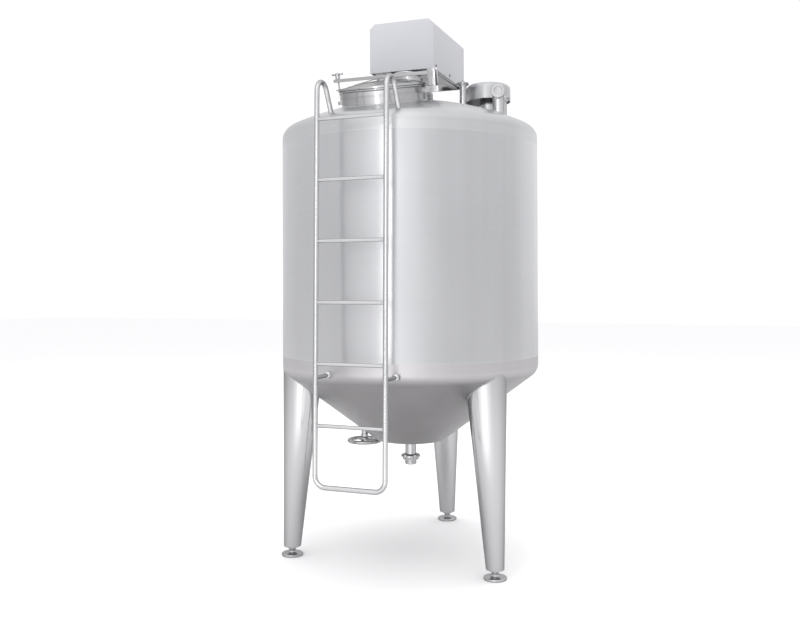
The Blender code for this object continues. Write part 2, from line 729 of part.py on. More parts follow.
def build_drive(vessel):
    neck_inner = NECK_RADIUS - NECK_WALL
    neck = turned(
        "agitator_neck",
        [
            (neck_inner, NECK_FLANGE_Z), (NECK_FLANGE_RADIUS, NECK_FLANGE_Z),
            (NECK_FLANGE_RADIUS, NECK_FLANGE_Z - FLANGE_THICKNESS),
            (NECK_RADIUS, NECK_FLANGE_Z - FLANGE_THICKNESS),
            (NECK_RADIUS, ROOF_OVERRUN_Z), (neck_inner, ROOF_OVERRUN_Z),
        ],
        36, finish=sheet_steel,
    )
    cut(neck, vessel)
    stool_bottom = NECK_FLANGE_Z + GAP
    stool_top = TRAY_BOTTOM_Z - GAP
    turned(
        "drive_stool",
        [
            (STOOL_BORE, stool_top), (STOOL_TOP_RADIUS, stool_top),
            (STOOL_TOP_RADIUS, stool_top - FLANGE_THICKNESS),
            (STOOL_RADIUS, stool_top - FLANGE_THICKNESS),
            (STOOL_RADIUS, stool_bottom + FLANGE_THICKNESS),
            (NECK_FLANGE_RADIUS, stool_bottom + FLANGE_THICKNESS),
            (NECK_FLANGE_RADIUS, stool_bottom), (STOOL_BORE, stool_bottom),
        ],
        36, finish=sheet_steel,
    )
    tray_inset = COVER_SHEET + GAP
    tray = open_box(
        "drive_tray",
        (-COVER_HALF_WIDTH + tray_inset, COVER_FRONT_Y + tray_inset, TRAY_BOTTOM_Z),
        (COVER_HALF_WIDTH - tray_inset, COVER_BACK_Y - tray_inset, TRAY_BOTTOM_Z + TRAY_HEIGHT),
        open_top=True,
    )
    thicken_inwards(tray, TRAY_SHEET)
    cover = open_box(
        "drive_cover", (-COVER_HALF_WIDTH, COVER_FRONT_Y, COVER_BOTTOM_Z),
        (COVER_HALF_WIDTH, COVER_BACK_Y, COVER_TOP_Z), open_top=False, chamfer=COVER_CHAMFER,
    )
    thicken_inwards(cover, COVER_SHEET)


def open_box(name, low, high, open_top, chamfer=0.0):
    """A box open at its top or its bottom; chamfer slopes off its two long top edges."""
    low, high = Vector(low), Vector(high)
    shape = bmesh.new()
    bmesh.ops.create_cube(shape, size=1)
    bmesh.ops.scale(shape, vec=high - low, verts=shape.verts)
    bmesh.ops.translate(shape, vec=(low + high) / 2, verts=shape.verts)
    up = 1 if open_top else -1
    lost = [face for face in shape.faces if round(face.normal.z) == up]
    bmesh.ops.delete(shape, geom=lost, context="FACES_ONLY")
    if chamfer:
        edges = [
            edge for edge in shape.edges
            if all(abs(end.co.z - high.z) < SAME_PLACE for end in edge.verts)
            and abs(edge.verts[0].co.x - edge.verts[1].co.x) < SAME_PLACE
        ]
        bmesh.ops.bevel(shape, geom=edges, offset=chamfer, segments=1, affect="EDGES", clamp_overlap=True)
    return piece_from_bmesh(name, shape, painted_steel)


def build_nozzles(vessel):
    pipe_inner = WASH_PIPE_RADIUS - WASH_PIPE_WALL
    lip = [(WASH_PIPE_RADIUS + out, WASH_PIPE_TOP_Z - down) for out, down in WASH_LIP_LINE]
    pipe = turned(
        "wash_pipe",
        [(pipe_inner, WASH_PIPE_TOP_Z)] + lip
        + [(WASH_PIPE_RADIUS, ROOF_OVERRUN_Z), (pipe_inner, ROOF_OVERRUN_Z)],
        24, at=WASH_PIPE_AT, finish=polished_steel,
    )
    cut(pipe, vessel)
    seat = WASH_PIPE_TOP_Z + GAP
    turned(
        "wash_pipe_cap",
        [(radius, seat + up) for radius, up in WASH_CAP_LINE] + [(WASH_CLAMP_RADIUS, seat), (0, seat)],
        28, at=WASH_PIPE_AT, finish=polished_steel,
    )

    hood_inner_top = VENT_HOOD_TOP_Z - VENT_SHEET - GAP
    vent_inner = VENT_NECK_RADIUS - VENT_SHEET
    neck = turned(
        "vent_neck",
        [
            (0, hood_inner_top), (VENT_NECK_RADIUS, hood_inner_top),
            (VENT_NECK_RADIUS, ROOF_OVERRUN_Z), (vent_inner, ROOF_OVERRUN_Z),
            (vent_inner, hood_inner_top - VENT_SHEET), (0, hood_inner_top - VENT_SHEET),
        ],
        28, at=VENT_AT, finish=sheet_steel,
    )
    cut(neck, vessel)
    window_low, window_high = [VENT_HOOD_BOTTOM_Z + up for up in VENT_WINDOW_HEIGHTS]
    for way, (half_x, half_y) in (("across", VENT_WINDOW), ("through", VENT_WINDOW[::-1])):
        cut(neck, box(
            f"vent_window_{way}",
            (VENT_AT[0] - half_x, VENT_AT[1] - half_y, window_low),
            (VENT_AT[0] + half_x, VENT_AT[1] + half_y, window_high), collection=CUTTERS,
        ))
    round_centre = (VENT_HOOD_RADIUS - VENT_HOOD_ROUND, VENT_HOOD_TOP_Z - VENT_HOOD_ROUND)
    corner = arc(round_centre, VENT_HOOD_ROUND, math.pi / 2, 0, 4)
    inside = arc(round_centre, VENT_HOOD_ROUND - VENT_SHEET, 0, math.pi / 2, 3)
    turned(
        "vent_hood",
        [(0, VENT_HOOD_TOP_Z)] + corner + [(VENT_HOOD_RADIUS, VENT_HOOD_BOTTOM_Z)]
        + [(VENT_HOOD_RADIUS - VENT_SHEET, VENT_HOOD_BOTTOM_Z)] + inside
        + [(0, VENT_HOOD_TOP_Z - VENT_SHEET)],
        32, at=VENT_AT, finish=sheet_steel,
    )

    gauge = turned(
        "gauge_nozzle",
        [(radius, GAUGE_TOP_Z - down) for radius, down in GAUGE_CLAMP_LINE]
        + [(GAUGE_PIPE_RADIUS, ROOF_OVERRUN_Z), (0, ROOF_OVERRUN_Z)],
        24, at=GAUGE_AT, finish=polished_steel,
    )
    cut(gauge, vessel)
    build_inlet(vessel)


def build_inlet(vessel):
    """A bent pipe that rises from the roof and turns to face the front, with a capped end."""
    heading = Vector((math.sin(INLET_HEADING), -math.cos(INLET_HEADING), 0))
    foot = Vector((*INLET_AT, 0))
    bend_z = INLET_AXIS_Z - INLET_BEND
    path = [foot + Vector((0, 0, ROOF_OVERRUN_Z))]
    for along, z in arc((INLET_BEND, bend_z), INLET_BEND, math.pi, math.pi / 2, 7):
        path.append(foot + heading * along + Vector((0, 0, z)))
    face = foot + heading * (INLET_BEND + INLET_STRAIGHT) + Vector((0, 0, INLET_AXIS_Z))
    path.append(face)
    elbow = tube("inlet_elbow", [tuple(p) for p in path], INLET_RADIUS, sheet_steel, resolution=4)
    cut(elbow, vessel)
    cap = rod(
        "inlet_cap", face + heading * GAP, face + heading * INLET_CAP_THICKNESS, INLET_FACE_RADIUS, 32,
        polished_steel,
    )
    cut(cap, rod(
        "inlet_cap_recess", face + heading * INLET_RECESS_START,
        face + heading * (INLET_CAP_THICKNESS + CUT_OVERRUN), INLET_RECESS_RADIUS, 24, collection=CUTTERS,
    ))


def build_bottom_fittings(vessel):
    lip_in, lip_up = OUTLET_LIP
    turned(
        "outlet_pipe",
        [
            (OUTLET_BORE, CONE_FLOOR_Z - GAP), (OUTLET_RADIUS, CONE_FLOOR_Z - GAP),
            (OUTLET_RADIUS, OUTLET_END_Z + lip_up), (OUTLET_RADIUS - lip_in, OUTLET_END_Z),
            (OUTLET_BORE, OUTLET_END_Z),
        ],
        32, finish=polished_steel,
    )
    nut = turned(
        "outlet_nut",
        [
            (OUTLET_RADIUS + GAP, NUT_TOP_Z), (NUT_RADIUS - NUT_BEVEL, NUT_TOP_Z),
            (NUT_RADIUS, NUT_TOP_Z - NUT_BEVEL), (NUT_RADIUS, NUT_BOTTOM_Z + NUT_BEVEL),
            (NUT_RADIUS - NUT_BEVEL, NUT_BOTTOM_Z), (OUTLET_RADIUS + GAP, NUT_BOTTOM_Z),
        ],
        36, finish=polished_steel,
    )
    for number in range(NUT_SLOTS):
        turn = 2 * math.pi * (number + 0.25) / NUT_SLOTS
        slot_at = Vector((NUT_RADIUS * math.cos(turn), NUT_RADIUS * math.sin(turn), 0))
        cut(nut, rod(
            f"nut_slot_{number}", slot_at + Vector((0, 0, NUT_BOTTOM_Z - NUT_SLOT_OVERRUN)),
            slot_at + Vector((0, 0, NUT_TOP_Z + NUT_SLOT_OVERRUN)), NUT_SLOT_RADIUS, 12,
            collection=CUTTERS,
        ))

    hub_top = DRAIN_SHOULDER_Z - GAP
    hub_bottom = hub_top - WHEEL_HUB_HEIGHT
    nut_top = hub_bottom - GAP
    nut_radius = SPINDLE_RADIUS + SPINDLE_NUT_WIDTH
    stem = turned(
        "drain_stem",
        [
            (0, CONE_OVERRUN_Z), (DRAIN_STEM_RADIUS, CONE_OVERRUN_Z),
            (DRAIN_STEM_RADIUS, DRAIN_SHOULDER_Z), (SPINDLE_RADIUS, DRAIN_SHOULDER_Z),
            (SPINDLE_RADIUS, nut_top), (nut_radius, nut_top),
            (nut_radius, nut_top - SPINDLE_NUT_HEIGHT), (0, nut_top - SPINDLE_NUT_HEIGHT),
        ],
        24, at=DRAIN_AT, finish=polished_steel,
    )
    cut(stem, vessel)
    build_handwheel(hub_bottom, hub_top)


def build_handwheel(hub_bottom, hub_top):
    ring_turns = [2 * math.pi * i / WHEEL_RING_SIDES for i in range(WHEEL_RING_SIDES)]
    section = [
        (
            WHEEL_RING_RADIUS + WHEEL_TUBE_RADIUS * math.cos(-t),
            WHEEL_Z + WHEEL_TUBE_RADIUS * math.sin(-t),
        )
        for t in ring_turns
    ]
    wheel = turned("drain_handwheel", section, 32, at=DRAIN_AT, finish=polished_steel)
    hub = turned(
        "wheel_hub",
        [
            (SPINDLE_RADIUS + PIN_CLEARANCE, hub_top), (WHEEL_HUB_RADIUS, hub_top),
            (WHEEL_HUB_RADIUS, hub_bottom), (SPINDLE_RADIUS + PIN_CLEARANCE, hub_bottom),
        ],
        24, at=DRAIN_AT, collection=CUTTERS,
    )
    centre = Vector((*DRAIN_AT, WHEEL_Z))
    for number in range(WHEEL_SPOKES):
        turn = 2 * math.pi * (number + 0.25) / WHEEL_SPOKES
        outwards = Vector((math.cos(turn), math.sin(turn), 0))
        fuse(wheel, rod(
            f"wheel_spoke_{number}", centre + outwards * (WHEEL_HUB_RADIUS - WHEEL_SPOKE_RADIUS),
            centre + outwards * WHEEL_RING_RADIUS, WHEEL_SPOKE_RADIUS, 12, collection=CUTTERS,
        ))
    fuse(wheel, hub)


def carry(joint, at, pieces):
    """Put an empty on a joint's axis; it carries the pieces that move and the tools that cut them."""
    pivot = bpy.data.objects.new(joint, None)
    pivot.location = at
    bpy.data.collections[PARTS].objects.link(pivot)
    for piece in pieces:
        item = bpy.data.objects[piece]
        tools = [step.object for step in item.modifiers if step.type == "BOOLEAN"]
        for carried in [item] + [tool for tool in tools if tool.name != "vessel_cutter"]:
            if carried.parent is None:
                hang(carried, pivot)
    return pivot


def hang(item, pivot):
    """Parent an item to an empty that hasn't been turned yet, and leave the item where it is."""
    item.parent = pivot
    item.matrix_parent_inverse = Matrix.Translation(pivot.location).inverted()


def join_up():
    """Hang the moving pieces on their joints, the manway on its tilt, and all on the tank's axis."""
    foot, tip = bolt_line()
    knob_seat = foot + (tip - foot).normalized() * KNOB_SEAT
    hinge_at = Vector((HINGE_X, MANWAY_Y, BAR_Z))
    lid = carry("lid_hinge", hinge_at, ("manway_lid", "lid_yoke", "lid_crossbar", "hold_down_bolt"))
    knob = carry("knob_turn", knob_seat, ("star_knob",))
    hang(knob, lid)
    manway = carry(
        "manway_tilt", Vector((0, MANWAY_Y, COLLAR_TOP_Z)),
        ("manway_collar", "hinge_bracket", "hinge_pin", "bolt_lug"),
    )
    hang(lid, manway)
    hang(bpy.data.objects["manway_hole"], manway)
    manway.rotation_euler = (MANWAY_TILT, 0, 0)
    carry("handwheel_turn", Vector((*DRAIN_AT, WHEEL_Z)), ("drain_handwheel",))
    axis = bpy.data.objects.new("tank_axis", None)
    axis.location = (0, TANK_AXIS_Y, 0)
    for name in (PARTS, CUTTERS):
        for item in bpy.data.collections[name].objects:
            if item.parent is None:
                item.parent = axis
    bpy.data.collections[PARTS].objects.link(axis)


def main():
    clear_scene()
    new_collection(PARTS)
    new_collection(CUTTERS, hidden=True)
    vessel = vessel_cutter()
    build_vessel()
    build_legs(vessel)
    build_ladder(vessel)
    build_manway(vessel)
    build_drive(vessel)
    build_nozzles(vessel)
    build_bottom_fittings(vessel)
    join_up()


main()
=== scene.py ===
"""A stainless process tank on tapered legs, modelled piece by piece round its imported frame.

Units are metres. +Z is up, the ladder faces -Y and the floor is z = 0. Each operator in the panel
makes one piece or a group of like pieces, and each piece rides on a body of the frame.
"""

import json
import math

import bmesh
import bpy
from bpy.props import FloatProperty, FloatVectorProperty, IntProperty, PointerProperty
from mathutils import Matrix, Vector
from mathutils.bvhtree import BVHTree


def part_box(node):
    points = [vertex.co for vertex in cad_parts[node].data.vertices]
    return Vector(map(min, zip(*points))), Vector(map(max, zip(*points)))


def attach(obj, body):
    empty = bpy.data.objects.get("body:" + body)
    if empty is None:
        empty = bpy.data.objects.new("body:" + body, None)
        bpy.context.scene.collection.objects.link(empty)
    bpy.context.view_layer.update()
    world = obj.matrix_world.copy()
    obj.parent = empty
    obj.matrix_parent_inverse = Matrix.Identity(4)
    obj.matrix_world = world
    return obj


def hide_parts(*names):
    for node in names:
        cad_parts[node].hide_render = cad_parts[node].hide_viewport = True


bl_info = {
    "name": "Process tank",
    "version": (1, 0, 0),
    "blender": (4, 5, 0),
    "location": "View3D > Sidebar > Tank",
    "description": "Models a stainless process tank with its ladder, manway, drive cover and nozzles",
    "category": "Object",
}

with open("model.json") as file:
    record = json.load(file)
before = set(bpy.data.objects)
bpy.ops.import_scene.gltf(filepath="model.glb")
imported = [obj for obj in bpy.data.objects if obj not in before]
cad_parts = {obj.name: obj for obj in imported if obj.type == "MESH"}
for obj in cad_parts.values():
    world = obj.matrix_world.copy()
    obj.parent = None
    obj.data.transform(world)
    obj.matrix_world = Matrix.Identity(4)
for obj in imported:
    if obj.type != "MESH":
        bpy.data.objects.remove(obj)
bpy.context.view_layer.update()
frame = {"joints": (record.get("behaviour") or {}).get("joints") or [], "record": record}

# The vessel, measured on the frame
SHELL_LOW, SHELL_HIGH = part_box("shell")
RADIUS = SHELL_HIGH.x
AXIS_Y = (SHELL_LOW.y + SHELL_HIGH.y) / 2
TOP_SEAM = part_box("top_head")[0].z
BOTTOM_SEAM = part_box("bottom_cone")[1].z
CONE_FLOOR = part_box("bottom_cone")[0].z
STRAIGHT_FLANGE = 0.05
TOP_TANGENT = TOP_SEAM + STRAIGHT_FLANGE
BOTTOM_TANGENT = BOTTOM_SEAM - STRAIGHT_FLANGE
SHEET = 0.006
TOP_KNUCKLE = 0.065
TOP_SLOPE = math.radians(25)
CONE_KNUCKLE = 0.08
CONE_SLOPE = math.radians(37)
CONE_ROUND = 0.03
SHAFT_HOLE = 0.06
OUTLET_BORE = 0.027

# The manway is modelled round the middle of its rim, and then set on the roof, leaning forwards
JOINTS = {joint["name"]: joint for joint in frame["joints"]}
HINGE_LINE = Vector(JOINTS["lid_hinge"]["axis"])
RIM_AT = Vector((0, AXIS_Y - 0.401, 2.544))
ON_ROOF = Matrix.Translation(RIM_AT) @ Matrix.Rotation(math.atan2(HINGE_LINE.z, HINGE_LINE.y), 4, "X")
COLLAR_INNER = 0.221
COLLAR_WALL = 0.004
COLLAR_FOOT = -0.209
MANWAY_HOLE = 0.2195
LID_EDGE = 0.012
LID_SHEET = 0.004
LID_DISH = 0.216
LID_RISE = 0.026
BAR_LOW, BAR_HIGH = 0.0467, 0.0647
BAR_HALF_WIDTH = 0.013
STRAP_HALF_WIDTH = 0.01
STRAP_SHEET = 0.004
HINGE_LOW, HINGE_TOP, EAR_TOP = -0.046, -0.014, 0.078
LUG_LOW, LUG_TOP = -0.0724, -0.0524
ACROSS_HINGE = Vector((0, 0.05, 0))
PIN_BORE = 0.0063
BOLT_BORE = 0.0056
BOLT_FOOT = Vector((-0.2497, 0, -0.0504))
BOLT_TIP = Vector((-0.2576, 0, 0.0988))

# Close enough to count as touching, when edges are merged and cut faces are looked for
MERGE = 0.00001
TOUCH = 0.0002


class TankSizes(bpy.types.PropertyGroup):
    """Sizes that a user would change without changing the frame"""

    shell_steps: IntProperty(
        name="Shell steps", description="Faces round the vessel", default=256, min=64, max=512,
    )
    tube_sides: IntProperty(
        name="Tube sides", description="Faces round each tube", default=32, min=12, max=64,
    )
    seam_height: FloatProperty(
        name="Seam height", description="How far a ground weld stands out of the sheet",
        default=0.0007, min=0.0, max=0.003, unit="LENGTH",
    )
    fillet: FloatProperty(
        name="Weld fillet", description="Radius of the welds round the legs and nozzles",
        default=0.0035, min=0.001, max=0.01, unit="LENGTH",
    )
    sheet_round: FloatProperty(
        name="Sheet edge", description="Rounding of a folded sheet's corners",
        default=0.0025, min=0.0005, max=0.01, unit="LENGTH",
    )
    thread_pitch: FloatProperty(
        name="Thread pitch", description="Height of one thread on the feet and the clamp bolt",
        default=0.003, min=0.001, max=0.006, unit="LENGTH",
    )
    lens: FloatProperty(
        name="Lens", description="Focal length of the camera in millimetres on a 36 mm sensor",
        default=39.1615, min=10.0, max=200.0,
    )


class TankFinishes(bpy.types.PropertyGroup):
    """Colours and polish of the tank's surfaces"""

    vessel: FloatVectorProperty(
        name="Vessel", description="Colour of the brushed shell", subtype="COLOR",
        default=(0.712, 0.717, 0.731), min=0.0, max=1.0,
    )
    roof: FloatVectorProperty(
        name="Roof", description="Colour of the polished dished head", subtype="COLOR",
        default=(0.635, 0.64, 0.648), min=0.0, max=1.0,
    )
    # The cone's colour is darker than the shell's as painted shade on the downward-facing cone; the cone is
    # also rougher
    cone: FloatVectorProperty(
        name="Cone", description="Colour of the matt coned bottom", subtype="COLOR",
        default=(0.51, 0.5, 0.506), min=0.0, max=1.0,
    )
    legs: FloatVectorProperty(
        name="Legs", description="Colour of the tapered legs", subtype="COLOR",
        default=(0.86, 0.862, 0.87), min=0.0, max=1.0,
    )
    bright: FloatVectorProperty(
        name="Bright tube", description="Colour of the polished ladder", subtype="COLOR",
        default=(0.86, 0.862, 0.872), min=0.0, max=1.0,
    )
    fittings: FloatVectorProperty(
        name="Fittings", description="Colour of the turned fittings", subtype="COLOR",
        default=(0.72, 0.722, 0.732), min=0.0, max=1.0,
    )
    cover: FloatVectorProperty(
        name="Cover", description="Colour of the drive cover's paint", subtype="COLOR",
        default=(0.60, 0.605, 0.635), min=0.0, max=1.0,
    )
    vessel_roughness: FloatProperty(
        name="Vessel roughness", description="How far the shell blurs what it reflects",
        default=0.30, min=0.0, max=1.0, subtype="FACTOR",
    )
    tube_roughness: FloatProperty(
        name="Tube roughness", description="How far the ladder blurs what it reflects",
        default=0.14, min=0.0, max=1.0, subtype="FACTOR",
    )


# Shader node groups


def new_group(name, inputs, outputs):
    """A shader node group with named float sockets; inputs is a list of (name, default)."""
    group = bpy.data.node_groups.new(name, "ShaderNodeTree")
    for label, value in inputs:
        socket = group.interface.new_socket(label, in_out="INPUT", socket_type="NodeSocketFloat")
        socket.default_value = value
    for label in outputs:
        group.interface.new_socket(label, in_out="OUTPUT", socket_type="NodeSocketFloat")
    return group, group.nodes.new("NodeGroupInput"), group.nodes.new("NodeGroupOutput")


def node(tree, kind, **settings):
    """A node with its settings; a setting that names an input fills that input's value."""
    made = tree.nodes.new("ShaderNode" + kind)
    for key, value in settings.items():
        if hasattr(made, key):
            setattr(made, key, value)
        else:
            made.inputs[key.replace("_", " ")].default_value = value
    return made


def maths(tree, operation, first, second=None, third=None):
    """A maths node's output; each operand is a socket or a number."""
    made = node(tree, "Math", operation=operation)
    for number, operand in enumerate((first, second, third)):
        if isinstance(operand, (int, float)):
            made.inputs[number].default_value = operand
        elif operand is not None:
            tree.links.new(operand, made.inputs[number])
    return made.outputs[0]


def object_noise(tree, stretch, detail=2.0, roughness=0.5):
    """Noise on object coordinates that are scaled by stretch along X, Y and Z."""
    where = node(tree, "TexCoord")
    scaled = node(tree, "Mapping")
    scaled.inputs["Scale"].default_value = stretch
    noise = node(tree, "TexNoise", Scale=1.0, Detail=detail, Roughness=roughness)
    tree.links.new(where.outputs["Object"], scaled.inputs["Vector"])
    tree.links.new(scaled.outputs["Vector"], noise.inputs["Vector"])
    return noise.outputs["Fac"]


def build_level_grain():
    """Fine scratches that run level round a turned surface, in two widths."""
    group, _, leave = new_group("Level grain", [], ["Height", "Streak"])
    group.links.new(object_noise(group, (3.0, 3.0, 900.0), 3.0, 0.6), leave.inputs["Height"])
    group.links.new(object_noise(group, (1.2, 1.2, 90.0), 2.0), leave.inputs["Streak"])
    return group


def build_upright_grain():
    """Fine scratches that run up and down a leg or a tube."""
    group, _, leave = new_group("Upright grain", [], ["Height", "Streak"])
    group.links.new(object_noise(group, (500.0, 500.0, 6.0), 2.0, 0.6), leave.inputs["Height"])
    group.links.new(object_noise(group, (60.0, 60.0, 1.5), 2.0), leave.inputs["Streak"])
    return group


def build_cloud():
    """Soft uneven patches, as hands and rinsing leave on steel."""
    group, enter, leave = new_group("Handling", [("Amount", 0.1)], ["Shift", "Dents"])
    patches = object_noise(group, (2.2, 2.2, 1.6), 4.0, 0.55)
    centred = maths(group, "SUBTRACT", patches, 0.5)
    group.links.new(maths(group, "MULTIPLY", centred, enter.outputs["Amount"]), leave.inputs["Shift"])
    waves = object_noise(group, (2.6, 2.6, 1.4), 1.0, 0.4)
    group.links.new(waves, leave.inputs["Dents"])
    return group


def build_edge_wear():
    """A mask that is 1 on worn edges: where a rounded normal departs from the true one."""
    group, enter, leave = new_group("Edge wear", [("Width", 0.003), ("Gain", 4.0)], ["Mask"])
    rounded = node(group, "Bevel", samples=4)
    group.links.new(enter.outputs["Width"], rounded.inputs["Radius"])
    true = node(group, "NewGeometry")
    agree = node(group, "VectorMath", operation="DOT_PRODUCT")
    group.links.new(rounded.outputs["Normal"], agree.inputs[0])
    group.links.new(true.outputs["Normal"], agree.inputs[1])
    apart = maths(group, "SUBTRACT", 1.0, agree.outputs["Value"])
    strong = maths(group, "MULTIPLY", apart, enter.outputs["Gain"])
    group.links.new(maths(group, "MINIMUM", strong, 1.0), leave.inputs["Mask"])
    return group


def build_ripple():
    """The scale pattern of a laid weld."""
    group, enter, leave = new_group("Weld ripple", [("Pitch", 500.0)], ["Height"])
    where = node(group, "TexCoord")
    scaled = node(group, "VectorMath", operation="SCALE")
    group.links.new(where.outputs["Object"], scaled.inputs[0])
    group.links.new(enter.outputs["Pitch"], scaled.inputs["Scale"])
    cells = node(group, "TexVoronoi", Scale=1.0)
    group.links.new(scaled.outputs["Vector"], cells.inputs["Vector"])
    group.links.new(cells.outputs["Distance"], leave.inputs["Height"])
    return group


GROUP_MAKERS = {
    "Level grain": build_level_grain,
    "Upright grain": build_upright_grain,
    "Handling": build_cloud,
    "Edge wear": build_edge_wear,
    "Weld ripple": build_ripple,
}


def grouped(tree, name, **values):
    """Place a shared node group in a material with values of its own."""
    group = bpy.data.node_groups.get(name) or GROUP_MAKERS[name]()
    placed = tree.nodes.new("ShaderNodeGroup")
    placed.node_tree = group
    for label, value in values.items():
        placed.inputs[label].default_value = value
    return placed


# Materials

SIDE_SHADE_SHARPNESS = 1.3
# Level brushing smears what the sheet reflects up and down; upright bands of lighter and darker colour paint
# such smeared reflections into the sheet
QUARTER_TURN = 0.25
STREAK_GAIN = 0.035
PAINTED_REFLECTION_GAIN = 0.22


def blank_material(name, colour, roughness, metallic):
    made = bpy.data.materials.new(name)
    made.use_nodes = True
    tree = made.node_tree
    shader = tree.nodes["Principled BSDF"]
    shader.inputs["Metallic"].default_value = metallic
    shader.inputs["Roughness"].default_value = roughness
    shader.inputs["Base Color"].default_value = (*colour, 1)
    made.diffuse_color = (*colour, 1)
    return made, tree, shader


def shift_colour(tree, shader, colour, shift, amount=1.0, side_shade=0.0):
    """Drive the base colour: colour shifted either way from its own value, and painted shade side on.

    side_shade is the part of the light that a face turned nearly away from the eye loses, painted into the
    colour as shade. Below zero it paints such faces lighter, a painted sheen.
    """
    factor = maths(tree, "MULTIPLY_ADD", shift, amount, 1.0)
    if side_shade:
        # Painted shade: the colour darkens as a face turns away from the eye
        turned = node(tree, "LayerWeight", Blend=0.5)
        aside = maths(tree, "POWER", turned.outputs["Facing"], SIDE_SHADE_SHARPNESS)
        factor = maths(tree, "MULTIPLY", factor, maths(tree, "MULTIPLY_ADD", aside, -side_shade, 1.0))
    scaled = node(tree, "VectorMath", operation="SCALE")
    scaled.inputs[0].default_value = colour
    tree.links.new(factor, scaled.inputs["Scale"])
    tree.links.new(scaled.outputs["Vector"], shader.inputs["Base Color"])


def bump(tree, shader, heights):
    """Chain Bump nodes; heights is a list of (socket, distance, strength)."""
    normal = None
    for socket, distance, strength in heights:
        step = node(tree, "Bump", Distance=distance, Strength=strength)
        tree.links.new(socket, step.inputs["Height"])
        if normal:
            tree.links.new(normal, step.inputs["Normal"])
        normal = step.outputs["Normal"]
    tree.links.new(normal, shader.inputs["Normal"])


def beyond(tree, height, reach):
    """A mask on object coordinates that grows from 0 at a height to 1 at reach beyond it."""
    where = node(tree, "TexCoord")
    parts = node(tree, "SeparateXYZ")
    tree.links.new(where.outputs["Object"], parts.inputs[0])
    grown = maths(tree, "DIVIDE", maths(tree, "SUBTRACT", parts.outputs["Z"], height), reach)
    return maths(tree, "MINIMUM", maths(tree, "MAXIMUM", grown, 0.0), 1.0)


def level_steel(
    name, colour, roughness, anisotropy, cloud=0.1, dents=0.0, side_shade=0.0, flange=None,
):
    """Sheet brushed level round the vessel: fine scratches, streaks, hand marks and slight waves, with
    upright bands of painted reflection.

    flange is (height, reach, gain): beyond that height the sheet is painted brighter by gain, a painted light
    on the upright band that faces the light as the shell does.
    """
    made, tree, shader = blank_material(name, colour, roughness, 1.0)
    shader.inputs["Anisotropic"].default_value = anisotropy
    shader.inputs["Anisotropic Rotation"].default_value = QUARTER_TURN
    scratch = grouped(tree, "Level grain")
    marks = grouped(tree, "Handling", Amount=cloud)
    streak = maths(tree, "MULTIPLY", maths(tree, "SUBTRACT", scratch.outputs["Streak"], 0.5), STREAK_GAIN)
    shift = maths(tree, "ADD", streak, marks.outputs["Shift"])
    # Painted reflection: upright bands of lighter and darker colour, as smeared reflections
    painted_reflection_bands = object_noise(tree, (5.0, 5.0, 0.15), 3.0, 0.6)
    shift = maths(tree, "MULTIPLY_ADD", maths(tree, "SUBTRACT", painted_reflection_bands, 0.5), PAINTED_REFLECTION_GAIN, shift)
    # Painted light: the upright band beyond the height is painted lighter than the rest of the sheet
    if flange:
        height, reach, gain = flange
        shift = maths(tree, "MULTIPLY_ADD", beyond(tree, height, reach), gain, shift)
    shift_colour(tree, shader, colour, shift, side_shade=side_shade)
    rough = maths(tree, "MULTIPLY_ADD", scratch.outputs["Height"], 0.09, roughness - 0.045)
    rough = maths(tree, "ADD", rough, maths(tree, "MULTIPLY", marks.outputs["Shift"], 0.8))
    tree.links.new(rough, shader.inputs["Roughness"])
    heights = [(scratch.outputs["Height"], 0.0002, 0.35)]
    if dents:
        heights.append((marks.outputs["Dents"], dents, 1.0))
    bump(tree, shader, heights)
    return made


def upright_steel(name, colour, roughness, grain, side_shade, cloud, wear=0.0):
    """Steel ground lengthwise, with brighter worn edges where wear is above zero."""
    made, tree, shader = blank_material(name, colour, roughness, 1.0)
    scratch = grouped(tree, "Upright grain")
    marks = grouped(tree, "Handling", Amount=cloud)
    streak = maths(tree, "MULTIPLY", maths(tree, "SUBTRACT", scratch.outputs["Streak"], 0.5), 0.06)
    shift = maths(tree, "ADD", streak, marks.outputs["Shift"])
    if wear:
        edge = grouped(tree, "Edge wear", Width=0.002, Gain=3.0)
        shift = maths(tree, "MULTIPLY_ADD", edge.outputs["Mask"], wear, shift)
    shift_colour(tree, shader, colour, shift, side_shade=side_shade)
    rough = maths(tree, "MULTIPLY_ADD", scratch.outputs["Height"], 0.08, roughness - 0.04)
    tree.links.new(rough, shader.inputs["Roughness"])
    bump(tree, shader, [(scratch.outputs["Height"], 0.0001, grain)])
    return made


def weld_steel(name, colour):
    """Laid welds, wire brushed: duller than the sheet, with their ripples."""
    colour = tuple(0.88 * part for part in colour)
    made, tree, shader = blank_material(name, colour, 0.36, 1.0)
    marks = grouped(tree, "Handling", Amount=0.2)
    shift_colour(tree, shader, colour, marks.outputs["Shift"])
    bump(tree, shader, [(grouped(tree, "Weld ripple", Pitch=420.0).outputs["Height"], 0.0006, 0.6)])
    return made


def cover_paint(name, colour):
    """Satin paint on folded sheet: a light orange peel, thin at the folds."""
    made, tree, shader = blank_material(name, colour, 0.42, 0.0)
    peel = object_noise(tree, (220.0, 220.0, 220.0), 2.0)
    marks = grouped(tree, "Handling", Amount=0.07)
    edge = grouped(tree, "Edge wear", Width=0.004, Gain=2.0)
    shift_colour(tree, shader, colour, maths(
        tree, "MULTIPLY_ADD", edge.outputs["Mask"], 0.12, marks.outputs["Shift"]))
    tree.links.new(maths(tree, "MULTIPLY_ADD", peel, 0.08, 0.38), shader.inputs["Roughness"])
    bump(tree, shader, [(peel, 0.0004, 0.25)])
    return made


def dark_steel(name, colour):
    """Blackened screws, with brighter edges."""
    made, tree, shader = blank_material(name, colour, 0.38, 0.7)
    edge = grouped(tree, "Edge wear", Width=0.0015, Gain=4.0)
    shift_colour(tree, shader, colour, edge.outputs["Mask"], 1.6)
    bump(tree, shader, [(object_noise(tree, (700.0, 700.0, 700.0), 2.0), 0.0002, 0.25)])
    return made


